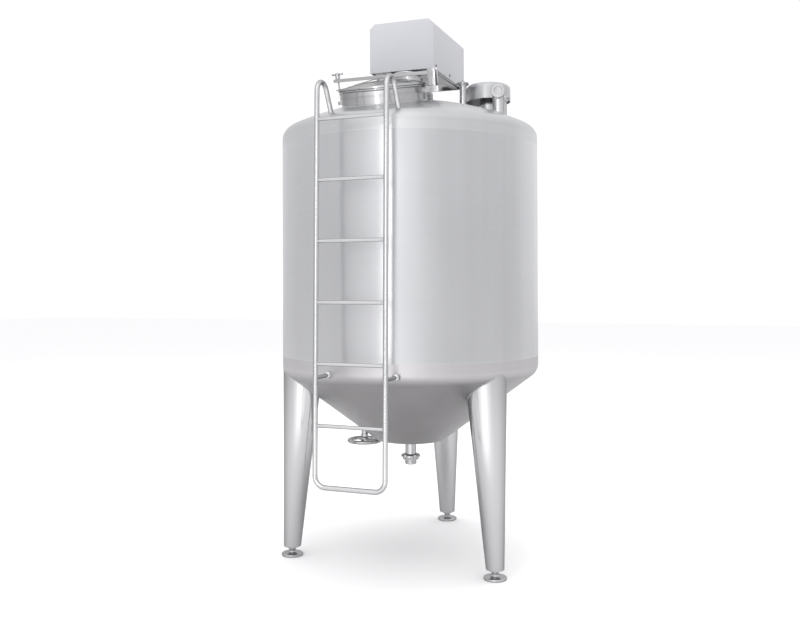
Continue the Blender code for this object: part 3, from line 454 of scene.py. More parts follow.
# Each look's slot, its maker and what the maker is given; a text names one of the tank's finishes
LOOKS = {
    "vessel_brushed": ("vessel_sheet", level_steel, {
        "colour": "vessel", "roughness": "vessel_roughness", "anisotropy": 0.8, "dents": 0.01,
        # A negative side_shade paints the shell lighter where it turns from the eye: a painted sheen at its
        # edges
        "side_shade": -0.2,
    }),
    "roof_polished": ("vessel_sheet", level_steel, {
        "colour": "roof", "roughness": 0.32, "anisotropy": 0.5, "cloud": 0.12,
        "flange": (TOP_TANGENT + 0.03, -0.04, 0.2),
    }),
    "cone_matt": ("vessel_sheet", level_steel, {
        "colour": "cone", "roughness": 0.42, "anisotropy": 0.2, "cloud": 0.16,
        "flange": (BOTTOM_TANGENT - 0.05, 0.04, 0.42),
    }),
    # side_shade paints the legs, tubes and fittings darker at their sides, as painted shade
    "legs_brushed": ("leg_sheet", upright_steel, {
        "colour": "legs", "roughness": 0.16, "grain": 0.02, "side_shade": 0.9, "cloud": 0.05,
    }),
    "tube_polished": ("bright_tube", upright_steel, {
        "colour": "bright", "roughness": "tube_roughness", "grain": 0.04, "side_shade": 1.0,
        "cloud": 0.06,
    }),
    "fittings_turned": ("fittings", upright_steel, {
        "colour": "fittings", "roughness": 0.17, "grain": 0.06, "wear": 0.22, "side_shade": 0.9,
        "cloud": 0.45,
    }),
    "weld_brushed": ("fittings", weld_steel, {"colour": "fittings"}),
    "cover_satin": ("cover_sheet", cover_paint, {"colour": "cover"}),
    "screw_blackened": ("fittings", dark_steel, {"colour": (0.10, 0.10, 0.11)}),
}


def paint(look):
    """The material for a look, made when it is first wanted."""
    made = bpy.data.materials.get(look)
    if made:
        return made
    finishes = bpy.context.scene.tank_finishes
    settings = {}
    for key, value in LOOKS[look][2].items():
        settings[key] = getattr(finishes, value) if isinstance(value, str) else value
    settings["colour"] = tuple(settings["colour"])
    return LOOKS[look][1](look, **settings)



# Modelling


def object_mode():
    if bpy.context.mode != "OBJECT":
        bpy.ops.object.mode_set(mode="OBJECT")


def take(*pieces):
    """Select these pieces alone; the last one is active."""
    object_mode()
    bpy.ops.object.select_all(action="DESELECT")
    for piece in pieces:
        piece.select_set(True)
        bpy.context.view_layer.objects.active = piece


def start(shape, name, **options):
    """Add a primitive with nothing else selected, and name it."""
    object_mode()
    bpy.ops.object.select_all(action="DESELECT")
    getattr(bpy.ops.mesh, f"primitive_{shape}_add")(**options)
    piece = bpy.context.object
    piece.name = name
    piece.data.name = name
    return piece


def edit(piece):
    take(piece)
    bpy.ops.object.mode_set(mode="EDIT")


def everything():
    bpy.ops.mesh.select_all(action="SELECT")


def tidy_mesh():
    """In edit mode, merge what lies together and turn the faces outwards."""
    everything()
    bpy.ops.mesh.remove_doubles(threshold=MERGE)
    bpy.ops.mesh.normals_make_consistent(inside=False)


def push(move):
    """In edit mode, extrude what is selected along a move."""
    bpy.ops.mesh.extrude_region_move(TRANSFORM_OT_translate={"value": move})


def dot(name, place):
    """A mesh of one vertex, in edit mode, from which a line is drawn."""
    piece = start("plane", name, size=0.001, location=place)
    bpy.ops.object.mode_set(mode="EDIT")
    bpy.ops.mesh.select_mode(type="VERT")
    everything()
    bpy.ops.mesh.merge(type="CENTER")
    return piece


def draw(move):
    """In edit mode, draw an edge from the selected vertex to the next."""
    bpy.ops.mesh.extrude_vertices_move(TRANSFORM_OT_translate={"value": move})


def choose(piece, kind, test):
    """In edit mode, select the vertices, edges or faces that pass a test."""
    bpy.ops.mesh.select_mode(type=kind)
    bpy.ops.mesh.select_all(action="DESELECT")
    shape = bmesh.from_edit_mesh(piece.data)
    parts = {"VERT": shape.verts, "EDGE": shape.edges, "FACE": shape.faces}[kind]
    for part in parts:
        if test(part):
            part.select_set(True)
    shape.select_flush_mode()
    bmesh.update_edit_mesh(piece.data)


def settle(piece):
    """Put a piece's place, turn and scale into its mesh."""
    take(piece)
    bpy.ops.object.transform_apply(location=True, rotation=True, scale=True)
    return piece


def lean(piece):
    """Set a piece that was modelled round the middle of the manway's rim on the roof."""
    piece.matrix_world = ON_ROOF
    return settle(piece)


def modify(piece, kind, **settings):
    """Add a modifier, set it and apply it."""
    take(piece)
    bpy.ops.object.modifier_add(type=kind)
    step = piece.modifiers[-1]
    for key, value in settings.items():
        setattr(step, key, value)
    bpy.ops.object.modifier_apply(modifier=step.name)
    return piece


def soften(piece, width, segments=2, angle=40):
    """Round a piece's sharp edges."""
    return modify(
        piece, "BEVEL", width=width, segments=segments, limit_method="ANGLE",
        angle_limit=math.radians(angle), use_clamp_overlap=True,
    )


def merge(*pieces, name=None):
    """Join pieces into the last one, and give it a name of its own."""
    take(*pieces)
    bpy.ops.object.join()
    pieces[-1].name = name or pieces[-1].name
    return pieces[-1]


def spans(edge):
    """How far an edge reaches along X, Y and Z."""
    apart = edge.verts[0].co - edge.verts[1].co
    return Vector((abs(apart.x), abs(apart.y), abs(apart.z)))


def round_edges(piece, offset, test, **settings):
    """Round the edges that pass a test, in six steps."""
    edit(piece)
    choose(piece, "EDGE", test)
    bpy.ops.mesh.bevel(offset=offset, segments=6, affect="EDGES", **settings)
    object_mode()


def subtract(piece, tool, keep=False):
    modify(piece, "BOOLEAN", operation="DIFFERENCE", object=tool)
    if not keep:
        bpy.data.objects.remove(tool)
    return piece


def finish(piece, *nodes, body="tank", look="fittings_turned", smooth=35):
    """Shade and paint a piece, hang it on its body, and hide the frame's nodes that it stands for."""
    settle(piece)
    bpy.ops.object.shade_smooth_by_angle(angle=math.radians(smooth))
    piece.data.materials.clear()
    piece.data.materials.append(paint(look))
    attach(piece, body)
    if nodes:
        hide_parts(*nodes)
    return piece


def below(top, points):
    """A profile whose heights are given as depths below its top."""
    return [(radius, top - depth) for radius, depth in points]


def place_of(node_name):
    """A node's box, and its middle seen from above."""
    low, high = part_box(node_name)
    return low, high, ((low.x + high.x) / 2, (low.y + high.y) / 2)


def arc(centre, radius, begin, end, count):
    """Points on an arc, from begin to end in radians."""
    turns = [begin + (end - begin) * i / (count - 1) for i in range(count)]
    return [(centre[0] + radius * math.cos(t), centre[1] + radius * math.sin(t)) for t in turns]


def lathe(name, profile, at=(0, AXIS_Y), steps=96):
    """Draw a closed profile of (radius, height) points as a chain of edges, and spin it upright."""
    here = profile[0]
    piece = dot(name, (at[0] + here[0], at[1], here[1]))
    on_axis = profile[0][0] == 0 and profile[-1][0] == 0
    for point in profile[1:] + ([] if on_axis else profile[:1]):
        draw((point[0] - here[0], 0, point[1] - here[1]))
        here = point
    everything()
    bpy.ops.mesh.remove_doubles(threshold=MERGE)
    bpy.ops.mesh.spin(steps=steps, angle=math.tau, center=(*at, 0), axis=(0, 0, 1))
    tidy_mesh()
    return settle(piece)


def bead_ring(name, radius, thick, place, steps, turn=0.0):
    """A laid weld round a tube, which is turned about Y from upright."""
    return settle(start(
        "torus", name, major_radius=radius, minor_radius=thick, major_segments=steps, minor_segments=8,
        location=place, rotation=(0, turn, 0),
    ))


def stand(piece, place, along):
    """Lay a piece that was turned round the world's upright axis along another direction."""
    turn = Vector((0, 0, 1)).rotation_difference(Vector(along)).to_matrix().to_4x4()
    piece.matrix_world = Matrix.Translation(place) @ turn
    return settle(piece)


def upright_lathe(name, profile, place, along, steps=48):
    """A turned piece whose profile's height is measured from place, along a direction."""
    return stand(lathe(name, profile, at=(0, 0), steps=steps), place, along)


def pipe(name, radius, begin, heading, legs):
    """A bent tube: a ring is drawn along each straight and swung round each bend.

    Each leg is a Vector for a straight, or (centre, axis, angle, steps) for a bend, whose angle is
    right-handed about its axis. The spin tool turns the other way.
    """
    sides = bpy.context.scene.tank_sizes.tube_sides
    turn = Vector((0, 0, 1)).rotation_difference(Vector(heading)).to_euler()
    piece = start(
        "circle", name, vertices=sides, radius=radius, fill_type="NOTHING", location=begin, rotation=turn,
    )
    settle(piece)
    edit(piece)
    bpy.ops.mesh.select_mode(type="EDGE")
    everything()
    for leg in legs:
        if isinstance(leg, Vector):
            push(leg)
        else:
            centre, axis, angle, steps = leg
            bpy.ops.mesh.spin(steps=steps, angle=-angle, center=centre, axis=axis)
    everything()
    bpy.ops.mesh.remove_doubles(threshold=MERGE)
    bpy.ops.mesh.fill_holes(sides=0)
    tidy_mesh()
    object_mode()
    return piece


def block(name, low, high, width=0.0015, segments=2):
    """A squared bar or plate with softened edges."""
    low, high = Vector(low), Vector(high)
    piece = start("cube", name, size=1, location=(low + high) / 2, scale=high - low)
    settle(piece)
    if width:
        soften(piece, width, segments)
    return piece


def bore(piece, begin, end, radius, sides=48):
    """Drill a round hole through a piece."""
    begin, end = Vector(begin), Vector(end)
    along = end - begin
    turn = Vector((0, 0, 1)).rotation_difference(along).to_euler()
    tool = start(
        "cylinder", "drill", vertices=sides, radius=radius, depth=along.length,
        location=(begin + end) / 2, rotation=turn,
    )
    return subtract(piece, tool)


def roof_line(grow=0.0):
    """The dished head's outer side, from the shaft hole to the tangent with the shell."""
    knuckle = (RADIUS - TOP_KNUCKLE, TOP_TANGENT)
    meet_radius = knuckle[0] + TOP_KNUCKLE * math.sin(TOP_SLOPE)
    meet_z = knuckle[1] + TOP_KNUCKLE * math.cos(TOP_SLOPE)
    ball = meet_radius / math.sin(TOP_SLOPE)
    centre = (0, meet_z - ball * math.cos(TOP_SLOPE))
    hole_turn = math.pi / 2 - math.asin(SHAFT_HOLE / ball)
    slope_turn = math.pi / 2 - TOP_SLOPE
    crown = arc(centre, ball + grow, hole_turn, slope_turn, 24)
    return crown[:-1] + arc(knuckle, TOP_KNUCKLE + grow, slope_turn, 0, 14)


def cone_line(inner, grow=0.0):
    """The coned bottom's outer side, from the tangent with the shell to a radius on its floor."""
    turn = CONE_SLOPE - math.pi / 2
    side = (math.cos(turn), math.sin(turn))
    knuckle = (RADIUS - CONE_KNUCKLE, BOTTOM_TANGENT)
    reach = side[0] * knuckle[0] + side[1] * knuckle[1] + CONE_KNUCKLE
    round_z = CONE_FLOOR + CONE_ROUND
    round_x = (reach - CONE_ROUND - side[1] * round_z) / side[0]
    bend = arc(knuckle, CONE_KNUCKLE + grow, 0, turn, 14)
    corner = arc((round_x, round_z), CONE_ROUND + grow, turn, -math.pi / 2, 8)
    return bend + corner + [(inner, CONE_FLOOR - grow)]


def vessel_blank():
    """The whole vessel as one solid, which trims what is welded on; it is made once."""
    blank = bpy.data.objects.get("vessel_blank")
    if not blank:
        top = roof_line()
        blank = lathe("vessel_blank", [(0, top[0][1])] + top + cone_line(0), steps=256)
    return blank


def trim(piece):
    """Cut a piece to the vessel's outer side."""
    return subtract(piece, vessel_blank(), keep=True)


def weld_round(piece, name, share):
    """Lay a weld, with a share of the usual fillet, where a trimmed piece meets the vessel."""
    skin = vessel_blank().data
    surface = BVHTree.FromPolygons(
        [corner.co for corner in skin.vertices], [face.vertices for face in skin.polygons],
    )
    edit(piece)

    def touches(face):
        return all(surface.find_nearest(corner.co)[3] < TOUCH for corner in face.verts)

    choose(piece, "FACE", touches)
    bpy.ops.mesh.region_to_loop()
    bpy.ops.mesh.duplicate()
    bpy.ops.mesh.separate(type="SELECTED")
    object_mode()
    loop = [item for item in bpy.context.selected_objects if item != piece][0]
    loop.name = name
    take(loop)
    bpy.ops.object.convert(target="CURVE")
    loop.data.bevel_depth = bpy.context.scene.tank_sizes.fillet * share
    loop.data.bevel_resolution = 2
    bpy.ops.object.convert(target="MESH")
    return finish(loop, look="weld_brushed", smooth=60)


def weld_on(piece, weld, share, *nodes, **how):
    """Trim a piece to the vessel, lay a weld round it and finish it."""
    trim(piece)
    weld_round(piece, weld, share)
    finish(piece, *nodes, **how)


def copies(template, places):
    """Copy a modelled piece to each (place, direction), and join the copies into one mesh."""
    made = []
    for place, along in places:
        take(template)
        bpy.ops.object.duplicate()
        made.append(stand(bpy.context.object, place, along))
    name = template.name
    bpy.data.objects.remove(template)
    return merge(*made, name=name)


def screw_head(name, radius, height, hex_socket=True):
    """A cap screw's head with a socket, or a hexagon head, standing on z = 0."""
    sides = 32 if hex_socket else 6
    piece = start("cylinder", name, vertices=sides, radius=radius, depth=height, location=(0, 0, height / 2))
    settle(piece)
    bpy.ops.object.mode_set(mode="EDIT")
    choose(piece, "FACE", lambda face: face.normal.z > 0.9)
    if hex_socket:
        bpy.ops.mesh.inset(thickness=radius * 0.45)
        push((0, 0, -height * 0.6))
    else:
        bpy.ops.mesh.inset(thickness=radius * 0.12)
        bpy.ops.transform.translate(value=(0, 0, height * 0.12))
    object_mode()
    return soften(piece, radius * 0.07, 2, 50)


# Pieces


class TANK_OT_vessel(bpy.types.Operator):
    """Make the shell, the dished head and the coned bottom, with the welds that join them"""

    bl_idname = "tank.vessel"
    bl_label = "Vessel"

    def execute(self, context):
        sizes = context.scene.tank_sizes
        steps = sizes.shell_steps
        edge = 0.0008
        inner = RADIUS - SHEET
        high, low = TOP_SEAM - 0.0002, BOTTOM_SEAM + 0.0002
        shell = lathe("rolled_shell", [
            (inner, high), (RADIUS - edge, high), (RADIUS, high - edge),
            (RADIUS, low + edge), (RADIUS - edge, low), (inner, low),
        ], steps=steps)
        finish(shell, "shell", look="vessel_brushed")

        head = lathe("dished_head", roof_line() + [
            (RADIUS, TOP_SEAM + edge), (RADIUS - edge, TOP_SEAM), (inner, TOP_SEAM),
        ] + roof_line(-SHEET)[::-1], steps=steps)
        bore(head, ON_ROOF @ Vector((0, 0, COLLAR_FOOT)), ON_ROOF @ Vector((0, 0, 0.02)), MANWAY_HOLE, 128)
        finish(head, "top_head", look="roof_polished")

        cone = lathe("coned_bottom", [
            (inner, BOTTOM_SEAM), (RADIUS - edge, BOTTOM_SEAM), (RADIUS, BOTTOM_SEAM - edge),
        ] + cone_line(OUTLET_BORE) + cone_line(OUTLET_BORE, -SHEET)[::-1], steps=steps)
        finish(cone, "bottom_cone", look="cone_matt")

        half, root = 0.003, RADIUS - 0.001
        for name, height in (("upper_seam_weld", TOP_SEAM), ("lower_seam_weld", BOTTOM_SEAM)):
            bead = arc((RADIUS - 0.0002, height), half, math.pi / 2, -math.pi / 2, 7)
            flat = [(RADIUS - 0.0002 + (r - RADIUS + 0.0002) * sizes.seam_height / half, z) for r, z in bead]
            ring = lathe(name, [(root, height + half)] + flat + [(root, height - half)], steps=steps)
            finish(ring, look="vessel_brushed", smooth=60)
        return {"FINISHED"}


LEG_NAMES = ("front_left", "front_right", "back")
LEG_FOOT_RADIUS = 0.0475
LEG_FLARE = 0.063
LEG_TOP = 1.15


class TANK_OT_legs(bpy.types.Operator):
    """Make the tapered legs, whose outer sides stand upright, and weld them to the vessel"""

    bl_idname = "tank.legs"
    bl_label = "Legs"

    def execute(self, context):
        for side in LEG_NAMES:
            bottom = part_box("leg_" + side)[0].z
            foot = Vector((*place_of("foot_" + side)[2], 0))
            inwards = (Vector((0, AXIS_Y, 0)) - foot).normalized()
            height = LEG_TOP - bottom
            top_radius = LEG_FOOT_RADIUS + LEG_FLARE * height
            leg = start(
                "cone", "tapered_leg_" + side, vertices=128, radius1=LEG_FOOT_RADIUS, radius2=top_radius,
                depth=height, location=foot + Vector((0, 0, bottom + height / 2)),
            )
            settle(leg)
            edit(leg)
            choose(leg, "VERT", lambda corner: corner.co.z > bottom + height / 2)
            bpy.ops.transform.translate(value=inwards * (top_radius - LEG_FOOT_RADIUS))
            choose(leg, "FACE", lambda face: face.normal.z < -0.9)
            bpy.ops.mesh.bevel(offset=0.0025, segments=3, affect="EDGES")
            choose(leg, "FACE", lambda face: face.normal.z < -0.99 and face.calc_area() > 0.004)
            bpy.ops.mesh.inset(thickness=0.008)
            bpy.ops.transform.translate(value=(0, 0, 0.001))
            object_mode()
            weld_on(leg, "leg_weld_" + side, 1, "leg_" + side, look="legs_brushed")
        return {"FINISHED"}


STUD = 0.0165
STUD_TURNS = 7
THREAD_DEPTH = 0.0015
LOCK_NUT_RADIUS = 0.0265
LOCK_NUT_HEIGHT = 0.011


class TANK_OT_feet(bpy.types.Operator):
    """Make the screwed feet: a threaded stud, its lock nut and a domed pad"""

    bl_idname = "tank.feet"
    bl_label = "Feet"

    def execute(self, context):
        pitch = context.scene.tank_sizes.thread_pitch
        for side in LEG_NAMES:
            low, high, at = place_of("foot_" + side)
            pad = (high.x - low.x) / 2
            profile = [(0, high.z + 0.0002)]
            for turn in range(STUD_TURNS):
                z = high.z - pitch * turn
                profile += [(STUD, z), (STUD + THREAD_DEPTH, z - pitch / 2)]
            neck = high.z - pitch * STUD_TURNS
            profile += [(STUD, neck), (STUD, 0.026), (STUD + 0.0035, 0.0225)]
            profile += arc((0.030, 0.0225 + 0.0035), 0.010, math.pi * 1.08, math.pi * 1.5, 5)
            profile += [(pad - 0.009, 0.0125)]
            profile += arc((pad - 0.005, 0.0075), 0.005, math.pi / 2, 0, 5)
            profile += [(pad, 0.003), (pad - 0.002, 0.0), (0, 0.0)]
            foot = lathe("levelling_foot_" + side, profile, at=at, steps=64)
            finish(foot, "foot_" + side, smooth=30)
            nut = start(
                "cylinder", "lock_nut_" + side, vertices=6, radius=LOCK_NUT_RADIUS, depth=LOCK_NUT_HEIGHT,
                location=(*at, high.z - 0.0062),
            )
            settle(nut)
            soften(nut, 0.0014, 3)
            finish(nut)
        return {"FINISHED"}


RAIL_LEAN = 0.0174
HOOK_BEND = 0.055
HOOK_SLANT = math.radians(28.7)
HOOK_DROP = 0.16
RUNG_COUNT = 6


def rail_y(height):
    """The rails' centre line: it leans, with its foot further out."""
    low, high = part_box("ladder_rung_6")
    return (low.y + high.y) / 2 - RAIL_LEAN * ((low.z + high.z) / 2 - height)


class TANK_OT_ladder(bpy.types.Operator):
    """Bend the ladder's rails, and weld on its rungs and its standoffs"""

    bl_idname = "tank.ladder"
    bl_label = "Ladder"

    def rail(self, side, x, radius):
        low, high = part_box("ladder_rail_" + side)
        spring = high.z - radius - HOOK_BEND
        begin = Vector((x, rail_y(low.z), low.z - 0.0002))
        top = Vector((x, rail_y(spring), spring))
        centre = top + Vector((0, HOOK_BEND, 0))
        turn = math.pi - HOOK_SLANT
        drop = Vector((0, math.sin(HOOK_SLANT), -math.cos(HOOK_SLANT))) * HOOK_DROP
        tube = pipe(
            f"hooked_rail_{side}", radius, begin, (0, 0, 1),
            [top - begin, (centre, (-1, 0, 0), turn, 28), drop],
        )
        weld_on(tube, "hook_weld_" + side, 0.7, "ladder_rail_" + side, look="tube_polished", smooth=40)

    def bottom(self, x, radius):
        low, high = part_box("ladder_bottom_bend")
        corner_z = low.z + radius + HOOK_BEND
        begin = Vector((x, rail_y(high.z), high.z))
        down = Vector((0, rail_y(corner_z) - rail_y(high.z), corner_z - high.z))
        across = Vector((-2 * (x - HOOK_BEND), 0, 0))
        near = Vector((x - HOOK_BEND, rail_y(corner_z), corner_z))
        far = Vector((-near.x, near.y, near.z))
        tube = pipe("foot_bend_tube", radius, begin, (0, 0, -1), [
            down, (near, (0, 1, 0), math.pi / 2, 14), across, (far, (0, 1, 0), math.pi / 2, 14), -down,
        ])
        finish(tube, "ladder_bottom_bend", look="tube_polished", smooth=40)

    def rungs(self, x, radius):
        rings = []
        for number in range(1, RUNG_COUNT + 1):
            low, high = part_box(f"ladder_rung_{number}")
            centre = (low + high) / 2
            size = (high.z - low.z) / 2
            begin = (-x, centre.y, centre.z)
            rung = pipe(f"rung_tube_{number}", size, begin, (1, 0, 0), [Vector((2 * x, 0, 0))])
            finish(rung, f"ladder_rung_{number}", look="tube_polished", smooth=40)
            for side in (-1, 1):
                at = Vector((side * (x - radius * 0.92), centre.y, centre.z))
                rings.append(bead_ring("rung_weld", size + 0.0002, 0.0022, at, 32, math.pi / 2))
        finish(merge(*rings, name="rung_welds"), look="weld_brushed", smooth=60)

    def standoffs(self, x):
        for side, place in (("left", -x), ("right", x)):
            low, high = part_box("ladder_standoff_" + side)
            height = (low.z + high.z) / 2
            wide = (high.z - low.z) / 2
            thin = wide / 2
            begin = Vector((place, rail_y(height), height))
            shell_y = AXIS_Y - math.sqrt(RADIUS ** 2 - place ** 2)
            stub = upright_lathe(f"standoff_tube_{side}", [
                (0, 0), (thin, 0), (thin, shell_y - begin.y - 0.022),
                (wide - 0.004, shell_y - begin.y - 0.018), (wide, shell_y - begin.y - 0.014),
                (wide, 0.2), (0, 0.2),
            ][::-1], begin, (0, 1, 0), steps=48)
            weld_on(
                stub, "standoff_weld_" + side, 0.7, "ladder_standoff_" + side,
                look="tube_polished", smooth=40,
            )

    def execute(self, context):
        low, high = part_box("ladder_rail_right")
        radius = (high.x - low.x) / 2
        x = (low.x + high.x) / 2
        self.rail("left", -x, radius)
        self.rail("right", x, radius)
        self.bottom(x, radius)
        self.rungs(x, radius)
        self.standoffs(x)
        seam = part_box("ladder_bottom_bend")[1].z
        joints = []
        for side in (-1, 1):
            at = (side * x, rail_y(seam), seam)
            joints.append(bead_ring("rail_joint", radius - 0.0006, 0.0014, at, 48))
        finish(merge(*joints, name="rail_joint_welds"), look="tube_polished", smooth=60)
        return {"FINISHED"}


class TANK_OT_manway(bpy.types.Operator):
    """Make the manway's collar with its rolled rim, and weld it to the roof"""

    bl_idname = "tank.manway"
    bl_label = "Manway collar"

    def execute(self, context):
        low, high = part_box("manway_collar")
        rim = (high.x - low.x) / 2
        wall = COLLAR_INNER + COLLAR_WALL
        roll = 0.005
        profile = [(COLLAR_INNER, -0.001), (COLLAR_INNER + 0.002, 0), (rim - roll, 0)]
        profile += arc((rim - roll, -roll), roll, math.pi / 2, -math.pi / 2, 9)
        profile += arc((wall + 0.006, -2 * roll - 0.006), 0.006, math.pi / 2, math.pi, 6)
        profile += [(wall, COLLAR_FOOT), (COLLAR_INNER, COLLAR_FOOT)]
        collar = lean(lathe("manway_throat", profile, at=(0, 0), steps=160))
        weld_on(collar, "manway_weld", 1.2, "manway_collar", smooth=30)

        band_z = -2 * roll - 0.028
        band = lean(lathe("collar_band", [
            (wall - 0.0005, band_z + 0.004), (wall + 0.0018, band_z + 0.003),
            (wall + 0.0018, band_z - 0.003), (wall - 0.0005, band_z - 0.004),
        ], at=(0, 0), steps=160))
        finish(band, smooth=60)
        return {"FINISHED"}


class TANK_OT_lid(bpy.types.Operator):
    """Make the dished lid, its crossbar and the strap between them"""

    bl_idname = "tank.lid"
    bl_label = "Manway lid"

    def execute(self, context):
        ball = (LID_DISH ** 2 + LID_RISE ** 2) / (2 * LID_RISE)
        centre = (0, LID_EDGE + LID_RISE - ball)
        low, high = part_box("manway_lid")
        lid = self.dish(high.x, centre, ball)
        ear = block("lid_ear", (low.x, -0.015, 0.0022), (-0.23, 0.015, 0.0102))
        round_edges(ear, 0.012, lambda edge: all(corner.co.x < low.x + 0.003 for corner in edge.verts)
                    and spans(edge).z > 0.004, clamp_overlap=True)
        bore(ear, BOLT_FOOT, BOLT_TIP, BOLT_BORE)
        finish(lean(merge(ear, lid)), "manway_lid", body="lid", smooth=32)
        self.crossbar()
        self.strap(centre, ball)
        return {"FINISHED"}

    def dish(self, rim, centre, ball):
        """The lid's sheet: a turned-down edge, a step and a dished crown with a boss."""
        edge_turn = math.pi / 2 - math.asin(LID_DISH / ball)
        boss = 0.03
        boss_turn = math.pi / 2 - math.asin(boss / ball)
        boss_top = BAR_LOW - STRAP_SHEET - 0.0006
        profile = [(0, boss_top), (boss - 0.003, boss_top), (boss, boss_top - 0.003)]
        profile += arc(centre, ball, boss_turn, edge_turn, 18)
        profile += [(LID_DISH + 0.002, LID_EDGE - 0.0006)]
        profile += arc((rim - 0.005, LID_EDGE - 0.005), 0.005, math.pi / 2, 0, 6)
        profile += [(rim, 0.001), (rim - 0.001, 0.0002), (LID_DISH + 0.002, 0.0002)]
        profile += arc(centre, ball - LID_SHEET, edge_turn, math.pi / 2, 14)
        profile[-1] = (0, profile[-1][1])
        return lathe("dished_lid", profile, at=(0, 0), steps=160)

    def crossbar(self):
        low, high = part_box("lid_crossbar")
        bar = block("lid_bridge", (low.x, -BAR_HALF_WIDTH, BAR_LOW), (high.x, BAR_HALF_WIDTH, BAR_HIGH), 0)
        round_edges(bar, 0.008, lambda edge: spans(edge).y < 0.001 and spans(edge).x < 0.001
                    and edge.verts[0].co.x > 0)
        soften(bar, 0.0012, 3)
        subtract(bar, block(
            "fork_slot", (low.x - 0.01, -0.0065, BAR_LOW - 0.01), (low.x + 0.03, 0.0065, BAR_HIGH + 0.01), 0,
        ))
        hinge = hinge_place()
        bore(bar, hinge - ACROSS_HINGE, hinge + ACROSS_HINGE, PIN_BORE)
        finish(lean(bar), "lid_crossbar", body="lid", smooth=35)

    def strap(self, centre, ball):
        """A bent flat strap: its feet sit on the dish and its middle carries the crossbar."""
        foot_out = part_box("lid_yoke")[1].x
        half = [
            (x, centre[1] + math.sqrt(ball ** 2 - x ** 2) + 0.0004) for x in (foot_out, foot_out - 0.022)
        ] + [(0.052, BAR_LOW - 0.0003 - STRAP_SHEET)]
        line = half + [(-x, z) for x, z in half[::-1]]
        strap = dot("bridge_strap", (line[0][0], -STRAP_HALF_WIDTH, line[0][1]))
        for (x0, z0), (x1, z1) in zip(line, line[1:]):
            draw((x1 - x0, 0, z1 - z0))
        everything()
        push((0, 2 * STRAP_HALF_WIDTH, 0))
        everything()
        bpy.ops.mesh.normals_make_consistent(inside=False)
        shape = bmesh.from_edit_mesh(strap.data)
        upwards = sum(face.normal.z for face in shape.faces) > 0
        object_mode()
        modify(
            strap, "SOLIDIFY", thickness=STRAP_SHEET, offset=1 if upwards else -1, use_even_offset=True,
        )
        settle(strap)
        soften(strap, 0.0008, 2, 30)
        finish(lean(strap), "lid_yoke", body="lid", smooth=30)


def hinge_place():
    """The lid's hinge, measured from the middle of the manway's rim."""
    return ON_ROOF.inverted() @ Vector(JOINTS["lid_hinge"]["pos_m"])


class TANK_OT_clamp(bpy.types.Operator):
    """Make the lid's hold-down: its lug, its threaded bolt and the star knob"""

    bl_idname = "tank.clamp"
    bl_label = "Hold-down"

    def execute(self, context):
        pitch = context.scene.tank_sizes.thread_pitch * 0.5
        along = (BOLT_TIP - BOLT_FOOT).normalized()
        length = (BOLT_TIP - BOLT_FOOT).length
        thread_from = length * 0.62
        thread_to = length - 0.0012
        profile = [(0, length), (0.0042, length), (0.005, thread_to)]
        for turn in range(int((thread_to - thread_from) / pitch)):
            z = thread_to - pitch * turn
            profile += [(0.005, z), (0.0043, z - pitch / 2)]
        profile += [(0.0046, thread_from), (0.0046, 0.02), (0.005, 0.018), (0.005, 0), (0, 0)]
        bolt = lean(upright_lathe("swing_bolt", profile, BOLT_FOOT, along, steps=32))
        finish(bolt, "hold_down_bolt", body="lid", smooth=30)

        low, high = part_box("bolt_lug")
        lug = block("swing_lug", (low.x, -0.014, LUG_LOW), (high.x, 0.014, LUG_TOP), 0)
        round_edges(lug, 0.010, lambda edge: all(abs(corner.co.x - low.x) < 0.0005 for corner in edge.verts)
                    and spans(edge).z > 0.004)
        soften(lug, 0.0012, 3)
        finish(lean(lug), "bolt_lug")
        self.knob(along)
        return {"FINISHED"}

    def knob(self, along):
        """A turned hub with four ball-tipped arms that rise outwards."""
        seat = ON_ROOF.inverted() @ Vector(JOINTS["knob_turn"]["pos_m"])
        knob = upright_lathe("star_grip", [
            (0.0053, 0.030), (0.0095, 0.030), (0.0118, 0.0275), (0.0126, 0.020), (0.0118, 0.012),
            (0.0130, 0.006), (0.0130, 0.0010), (0.0120, 0.0), (0.0053, 0.0),
        ], seat, along, steps=48)
        root = seat + along * 0.0165
        across = Vector((0, 1, 0))
        sideways = along.cross(across)
        for number in range(4):
            turn = math.radians(45 + 90 * number)
            outwards = across * math.cos(turn) + sideways * math.sin(turn)
            reach = outwards * 0.027 + along * 0.008
            arm = upright_lathe("arm", [
                (0, 0.0345), (0.0030, 0.0338), (0.0055, 0.0310), (0.0066, 0.0275), (0.0055, 0.0240),
                (0.0040, 0.0222), (0.0036, 0.0160), (0.0044, 0.0080), (0, 0.0080),
            ], root, reach, steps=24)
            knob = merge(arm, knob)
        finish(lean(knob), "star_knob", body="knob", smooth=40)


